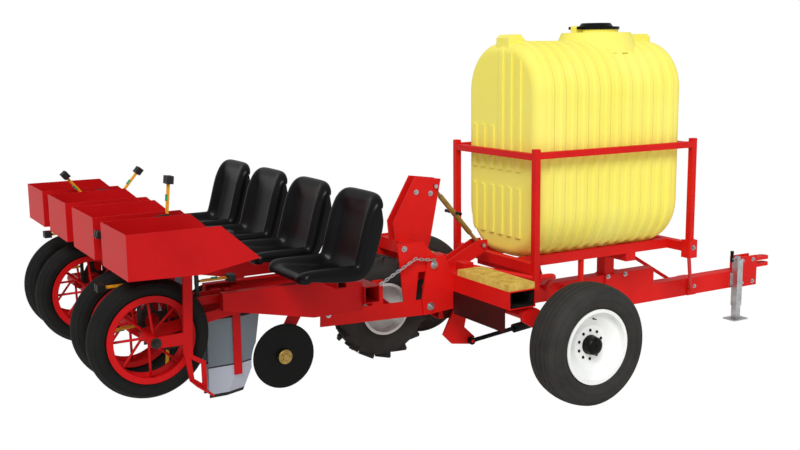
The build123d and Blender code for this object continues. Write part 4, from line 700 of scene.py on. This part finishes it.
# %% [markdown]
# ## Bucket seats
#
# Each seat is one shell of moulded plastic: a dished floor, a leaning back, and a rolled rim all
# round that keeps the rider in. A mould maker draws the seat's side line first and then says how
# the section changes towards the edge. The piece is made the same way. The side line is drawn
# across the seat as a plain sheet, each strip is lifted square to the line by its rim height, the
# corners are pulled in, and a smoothed thickness makes it a shell.

# %% Bucket seats
SEATS = 4
SEAT_W = 480 * MM
SHELL = 11 * MM
SIDE_LINE = (
    # back from the lip and up from the seat plate in mm, then the shares of the rim's height, of
    # the outer wall's return, of the head's corner and of the lip's corner
    (10, 24, 0.15, 1.0, 0, 1),
    (4, 38, 0.2, 1.3, 0, 1),
    (15, 51, 0.3, 1.5, 0, 0.9),
    (45, 52, 0.4, 1.6, 0, 0.7),
    (120, 36, 0.7, 1.2, 0, 0.25),
    (215, 22, 0.9, 1.0, 0, 0),
    (300, 17, 1.0, 1.0, 0, 0),
    (348, 24, 1.0, 1.2, 0, 0),
    (384, 62, 1.0, 1.6, 0, 0),
    (408, 140, 1.0, 2.2, 0, 0),
    (434, 240, 1.0, 2.5, 0.1, 0),
    (455, 325, 0.95, 2.6, 0.35, 0),
    (456, 380, 0.6, 2.4, 0.7, 0),
    (456, 418, 0.3, 2.6, 1, 0),
    (468, 446, 0.1, 2.0, 1, 0),
    (484, 448, 0.0, 0.0, 1, 0),
    (492, 438, 0.0, 0.0, 1, 0),
)
# Out from the seat's middle: the rim's height, below zero on the outer wall's edge, and how far a
# corner is pulled in, in mm
SECTION = {
    0: (0, 0),
    66: (0, 0),
    122: (2, 1),
    150: (12, 4),
    170: (40, 9),
    188: (58, 17),
    207: (60, 30),
    222: (46, 46),
    229: (18, 60),
    228: (-14, 62),
}
# The ways that corners are pulled: back from the lip, and down along the back from the head
LIP_PULL = Vector((0.5, 0, 0))
HEAD_PULL = Vector((-0.22, 0, -0.97))


def only(parts, kind):
    """Those of a shape's parts that are of one kind."""
    return [part for part in parts if isinstance(part, kind)]


def everything(shape):
    """All that a shape is made of."""
    return shape.verts[:] + shape.edges[:] + shape.faces[:]


points = [Vector((along, 0, up)) * MM for along, up, *_ in SIDE_LINE]
after = points[1:] + [2 * points[-1] - points[-2]]
before = [2 * points[0] - points[1]] + points[:-1]
shells = bmesh.new()
line = [shells.verts.new(point) for point in points]
edges = [shells.edges.new(pair) for pair in zip(line, line[1:])]
stations = list(SECTION)
for inner, outer in zip(stations, stations[1:]):
    made = bmesh.ops.extrude_edge_only(shells, edges=edges)["geom"]
    fresh = set(only(made, bmesh.types.BMVert))
    bmesh.ops.translate(shells, verts=list(fresh), vec=(0, (outer - inner) * MM, 0))
    edges = [edge for edge in only(made, bmesh.types.BMEdge) if fresh.issuperset(edge.verts)]
for vert in shells.verts:
    on_line = Vector((vert.co.x, 0, vert.co.z))
    number = min(range(len(points)), key=lambda n: (points[n] - on_line).length)
    *_, rim, wall, head, lip = SIDE_LINE[number]
    along = (after[number] - before[number]).normalized()
    lift, pull = SECTION[round(vert.co.y / MM)]
    vert.co += Vector((-along.z, 0, along.x)) * lift * (rim if lift > 0 else wall) * MM
    vert.co += (LIP_PULL * lip + HEAD_PULL * head) * pull * MM
bmesh.ops.mirror(shells, geom=everything(shells), axis="Y", merge_dist=MERGE)

seat_low, seat_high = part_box("seats")
seat_step = (seat_high.y - seat_low.y - SEAT_W) / (SEATS - 1)
first_place = Vector((seat_low.x, seat_low.y + SEAT_W / 2, seat_low.z))
bmesh.ops.translate(shells, verts=shells.verts, vec=first_place)
first_seat = everything(shells)
for number in range(1, SEATS):
    copy = bmesh.ops.duplicate(shells, geom=first_seat)["geom"]
    verts = only(copy, bmesh.types.BMVert)
    bmesh.ops.translate(shells, verts=verts, vec=(0, number * seat_step, 0))
seats = piece(shells, "bucket_seats", "frame", black_moulding)
seats.data.shade_smooth()
shell = seats.modifiers.new("shell", "SOLIDIFY")
shell.thickness = SHELL
shell.offset = 1
smooth = seats.modifiers.new("smooth", "SUBSURF")
smooth.levels = smooth.render_levels = 2
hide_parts("seats")
print(SEATS, "bucket seats of", len(seats.data.polygons), "faces before they are smoothed")

# %% [markdown]
# ## Tank guard
#
# The guard is a frame of square tube that was sawn to length and welded. Its upper tubes are
# lighter than those that carry the tank, so they are drawn again at the lighter size: each is a bar
# from one corner to another whose edges are rolled, as the corners of drawn tube are. The posts go
# down to the same feet as before, and thin pads close the gaps where a lighter post meets a heavier
# sleeve or pipe.

# %% Guard tubes
GUARD_W = 44 * MM
FRAME_W = 60 * MM
TUBE_EDGE = 2.5 * MM
PAD_T = 6 * MM
PAD_LAP = 1 * MM
SLEEVE_TOP = 820 * MM
FRONT_FOOT = 700 * MM
BRACE_R = 17
BRACE_SIDES = 20
FOOT_UP = 80 * MM
# The end tubes lie a little lower than the side rails
END_DROP = 8 * MM
# The braces stand in two lugs on the toolbar
LUG_AHEAD = 30 * MM
LUG_L = 80 * MM
LUG_OUT = 170 * MM
LUG_W = 100 * MM
BRACE_UP = 34 * MM


def bar(shape, *spans):
    """A bar between two values on each of the three axes."""
    low = Vector([min(span) for span in spans])
    high = Vector([max(span) for span in spans])
    block(shape, (low + high) / 2, high - low)


def across_of(centre, width):
    """The two faces of a tube of a width about its centre line."""
    return centre - width / 2, centre + width / 2


rail_low, rail_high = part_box("guard_rails")
post_low, post_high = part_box("guard_posts")
toolbar_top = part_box("toolbar")[1].z
post_rear = rail_low.x - FRAME_W / 2
post_front = rail_high.x + FRAME_W / 2
post_y = rail_high.y - FRAME_W / 2
rail_z = (rail_low.z + rail_high.z) / 2
cradle_z = [corner.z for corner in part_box("cradle_rails")]
brace_x = middle("toolbar").x + LUG_AHEAD

guard = bmesh.new()
for x, foot in ((post_rear, post_low.z), (post_front, FRONT_FOOT)):
    end_y = post_y - GUARD_W / 2
    bar(guard, across_of(x, GUARD_W), (-end_y, end_y), across_of(rail_z - END_DROP, GUARD_W))
    bar(guard, across_of(x, FRAME_W), (-end_y, end_y), cradle_z)
    for side in SIDES.values():
        bar(guard, across_of(x, GUARD_W), across_of(side * post_y, GUARD_W), (foot, post_high.z))
for side in SIDES.values():
    tube, sleeve = (across_of(side * post_y, width) for width in (GUARD_W, FRAME_W))
    rail = post_rear + GUARD_W / 2, post_front - GUARD_W / 2
    bar(guard, rail, tube, across_of(rail_z, GUARD_W))
    bar(guard, across_of(post_front, FRAME_W), sleeve, (SLEEVE_TOP - PAD_T, SLEEVE_TOP))
    pad = post_rear + GUARD_W / 2, post_rear + FRAME_W / 2 + PAD_LAP
    bar(guard, pad, sleeve, across_of(post_low.z + FOOT_UP, FRAME_W))
    lug = across_of(side * LUG_OUT, LUG_W)
    bar(guard, across_of(brace_x, LUG_L), lug, (toolbar_top, toolbar_top + FRAME_W))
roll_edges(guard, TUBE_EDGE)
for side in SIDES.values():
    start = Vector((brace_x, side * LUG_OUT, toolbar_top + BRACE_UP))
    reach = Vector((post_rear, side * post_y, post_low.z + FOOT_UP)) - start
    length = reach.length / MM
    outline = [(0, 0), (BRACE_R, 0), (BRACE_R, length), (0, length)]
    turned(guard, start, outline, reach, BRACE_SIDES)
guard_piece = piece(guard, "tank_guard", "frame", red_cart)
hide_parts("guard_posts", "guard_rails", "guard_ends")
print("tank guard of", len(guard_piece.data.polygons), "faces")

# %% [markdown]
# ## Toolbar ends
#
# The toolbar is a square tube with open ends. A liner with one open side, in dark oiled steel, is
# painted shade for the inside of the ends: it is a box that lies just inside the tube, with its
# outer face taken off.

# %% Toolbar liners
LINER_GAP = 1.5 * MM
LINER_L = 400 * MM
LINER_BACK = 4 * MM
TUBE_WALL = 6 * MM
# A face looks outwards when its normal is nearly along the tube
OUTWARDS = 0.9
bar_low, bar_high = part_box("toolbar")
shade_liners = bmesh.new()
for side in SIDES.values():
    inset = TUBE_WALL + LINER_GAP
    size = Vector((bar_high.x - bar_low.x - 2 * inset, LINER_L, bar_high.z - bar_low.z - 2 * inset))
    out = side * (bar_high.y - LINER_BACK - LINER_L / 2)
    corners = block(shade_liners, (bar_low + bar_high) / 2 + Vector((0, out, 0)), size)
    faces = {face for corner in corners for face in corner.link_faces}
    outer = [face for face in faces if face.normal.y * side > OUTWARDS]
    bmesh.ops.delete(shade_liners, geom=outer, context="FACES_ONLY")
# A dark box inside each open end: painted shade for the inside of the tube
piece(shade_liners, "toolbar_shade_liners", "frame", oiled_steel)
print("toolbar's ends are dark inside")

# %% [markdown]
# ## Grips
#
# The top link's cross bar and the jack's crank have black moulded grips, and each gripper's trip
# rod carries a green sleeve. A grip is a short waisted barrel, so one outline that is spun about
# the rod serves for all of them; only its size changes. The grippers sit at even distances round
# the chain, so their places are worked out from its length.

# %% Grips and sleeves
BARREL = ((0, -0.5), (0.8, -0.5), (1, -0.44), (0.86, 0), (1, 0.44), (0.8, 0.5), (0, 0.5))


def barrel(shape, centre, axis, radius, length, steps=20):
    """A waisted barrel about a rod; radius and length in mm."""
    turned(shape, centre, [(r * radius, h * length) for r, h in BARREL], axis, steps)


grips = bmesh.new()
link_low, link_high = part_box("top_link")
EYE_R = 28 * MM
BAR_PLACE = 0.45
GRIP_R, GRIP_L = 12, 55
upper = Vector((link_low.x + EYE_R, 0, link_high.z - EYE_R))
lower = Vector((link_high.x - EYE_R, 0, link_low.z + EYE_R))
for side in SIDES.values():
    end = upper.lerp(lower, BAR_PLACE) + Vector((0, side * (link_high.y - GRIP_L / 2 * MM), 0))
    barrel(grips, end, (0, 1, 0), GRIP_R, GRIP_L)
jack_low, jack_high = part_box("jack_tube")
# The crank's handle, from the low corner of the jack's box and from its top
CRANK_IN = Vector((10, 18, 0)) * MM
CRANK_UP = 9 * MM
CRANK_GRIP_R, CRANK_GRIP_L = 15, 90
crank_end = Vector((jack_low.x, jack_low.y, jack_high.z + CRANK_UP)) + CRANK_IN
barrel(grips, crank_end, (0, 0, 1), CRANK_GRIP_R, CRANK_GRIP_L)
piece(grips, "grips", "frame", black_moulding)

# Rubber tube pulled over a rod: a clear green with a soft shine
green_rubber = finish("green_rubber_sleeve", "#0E8F66", "#17A87A", 40, (0.5, 0.65), 1, 0.02, 1)
GRIPPERS = 8
# Where each row's first gripper sits round its top sprocket, in degrees
CHAIN_START = {"right": 84.5, "left": 49.9}
ROD_OFFSET = 6 * MM
SLEEVE_REACH = 100 * MM
SLEEVE_R, SLEEVE_L = 9, 34
straight = chain_top_z - chain_low_z
half_turn = math.pi * CHAIN_R
chain_length = 2 * (straight + half_turn)


def chain_place(distance):
    """Height of the turning centre, and the outward angle, at a distance round the chain."""
    distance %= chain_length
    if distance < half_turn:
        return chain_top_z, distance / CHAIN_R
    distance -= half_turn
    if distance < straight:
        return chain_top_z - distance, math.pi
    distance -= straight
    if distance < half_turn:
        return chain_low_z, math.pi + distance / CHAIN_R
    return chain_low_z + (distance - half_turn), 0


sleeves = bmesh.new()
for name in SIDES:
    row_y = middle(f"coulter_{name}").y
    for number in range(GRIPPERS):
        start = math.radians(CHAIN_START[name]) * CHAIN_R
        z, angle = chain_place(start + number * chain_length / GRIPPERS)
        out = Vector((math.cos(angle), 0, math.sin(angle)))
        beside = out.cross(Vector((0, 1, 0)))
        centre = Vector((chain_x, row_y, z)) + out * (CHAIN_R + SLEEVE_REACH)
        barrel(sleeves, centre + beside * ROD_OFFSET, out, SLEEVE_R, SLEEVE_L, steps=14)
piece(sleeves, "trip_rod_sleeves", "frame", green_rubber)
print("grips on the top link and the jack;", 2 * GRIPPERS, "green sleeves")

# %% [markdown]
# ## Floor and light
#
# The studio is a pale floor under a white surround. A broad soft sun from the camera's left stands
# for the open sky, and the surround fills the shadows. The surround is white to the camera and
# weaker as a light, so colours come out about as they are written. The floor throws light up under
# the machine and is left out of the picture itself, so that the ground stays as white as the
# surround.

# %% Studio
FLOOR_SIZE = 120
SURROUND_LIGHT = 0.55
SUN_LIGHT = 1.85
SUN_SPREAD = math.radians(25)
SUN_TURN = (math.radians(48), 0, math.radians(-38))

floor_shape = bmesh.new()
bmesh.ops.create_grid(floor_shape, x_segments=1, y_segments=1, size=FLOOR_SIZE / 2)
floor_mesh = bpy.data.meshes.new("floor")
floor_shape.to_mesh(floor_mesh)
floor_shape.free()
floor = bpy.data.objects.new("floor", floor_mesh)
scene.collection.objects.link(floor)
# Smooth pale screed: no shine, so the light that it throws up is even
floor_mesh.materials.append(
    finish("pale_floor", "#F4F4F2", "#F7F7F5", 900, (0.8, 0.9), 5, 0.01, 1)
)
floor.visible_camera = False

world = bpy.data.worlds.new("studio")
scene.world = world
world.use_nodes = True
sky = world.node_tree
sky.nodes.clear()
path = add(sky, "ShaderNodeLightPath")
level_of = add(
    sky,
    "ShaderNodeMapRange",
    {"To Min": SURROUND_LIGHT, "To Max": 1.0},
    {"Value": (path, "Is Camera Ray")},
)
surround = add(
    sky, "ShaderNodeBackground", {"Color": (1, 1, 1, 1)}, {"Strength": (level_of, "Result")}
)
add(sky, "ShaderNodeOutputWorld", links={"Surface": (surround, "Background")})

sun_data = bpy.data.lights.new("sun", "SUN")
sun_data.energy = SUN_LIGHT
sun_data.angle = SUN_SPREAD
sun = bpy.data.objects.new("sun", sun_data)
sun.rotation_euler = SUN_TURN
scene.collection.objects.link(sun)
print("sun and surround are on")
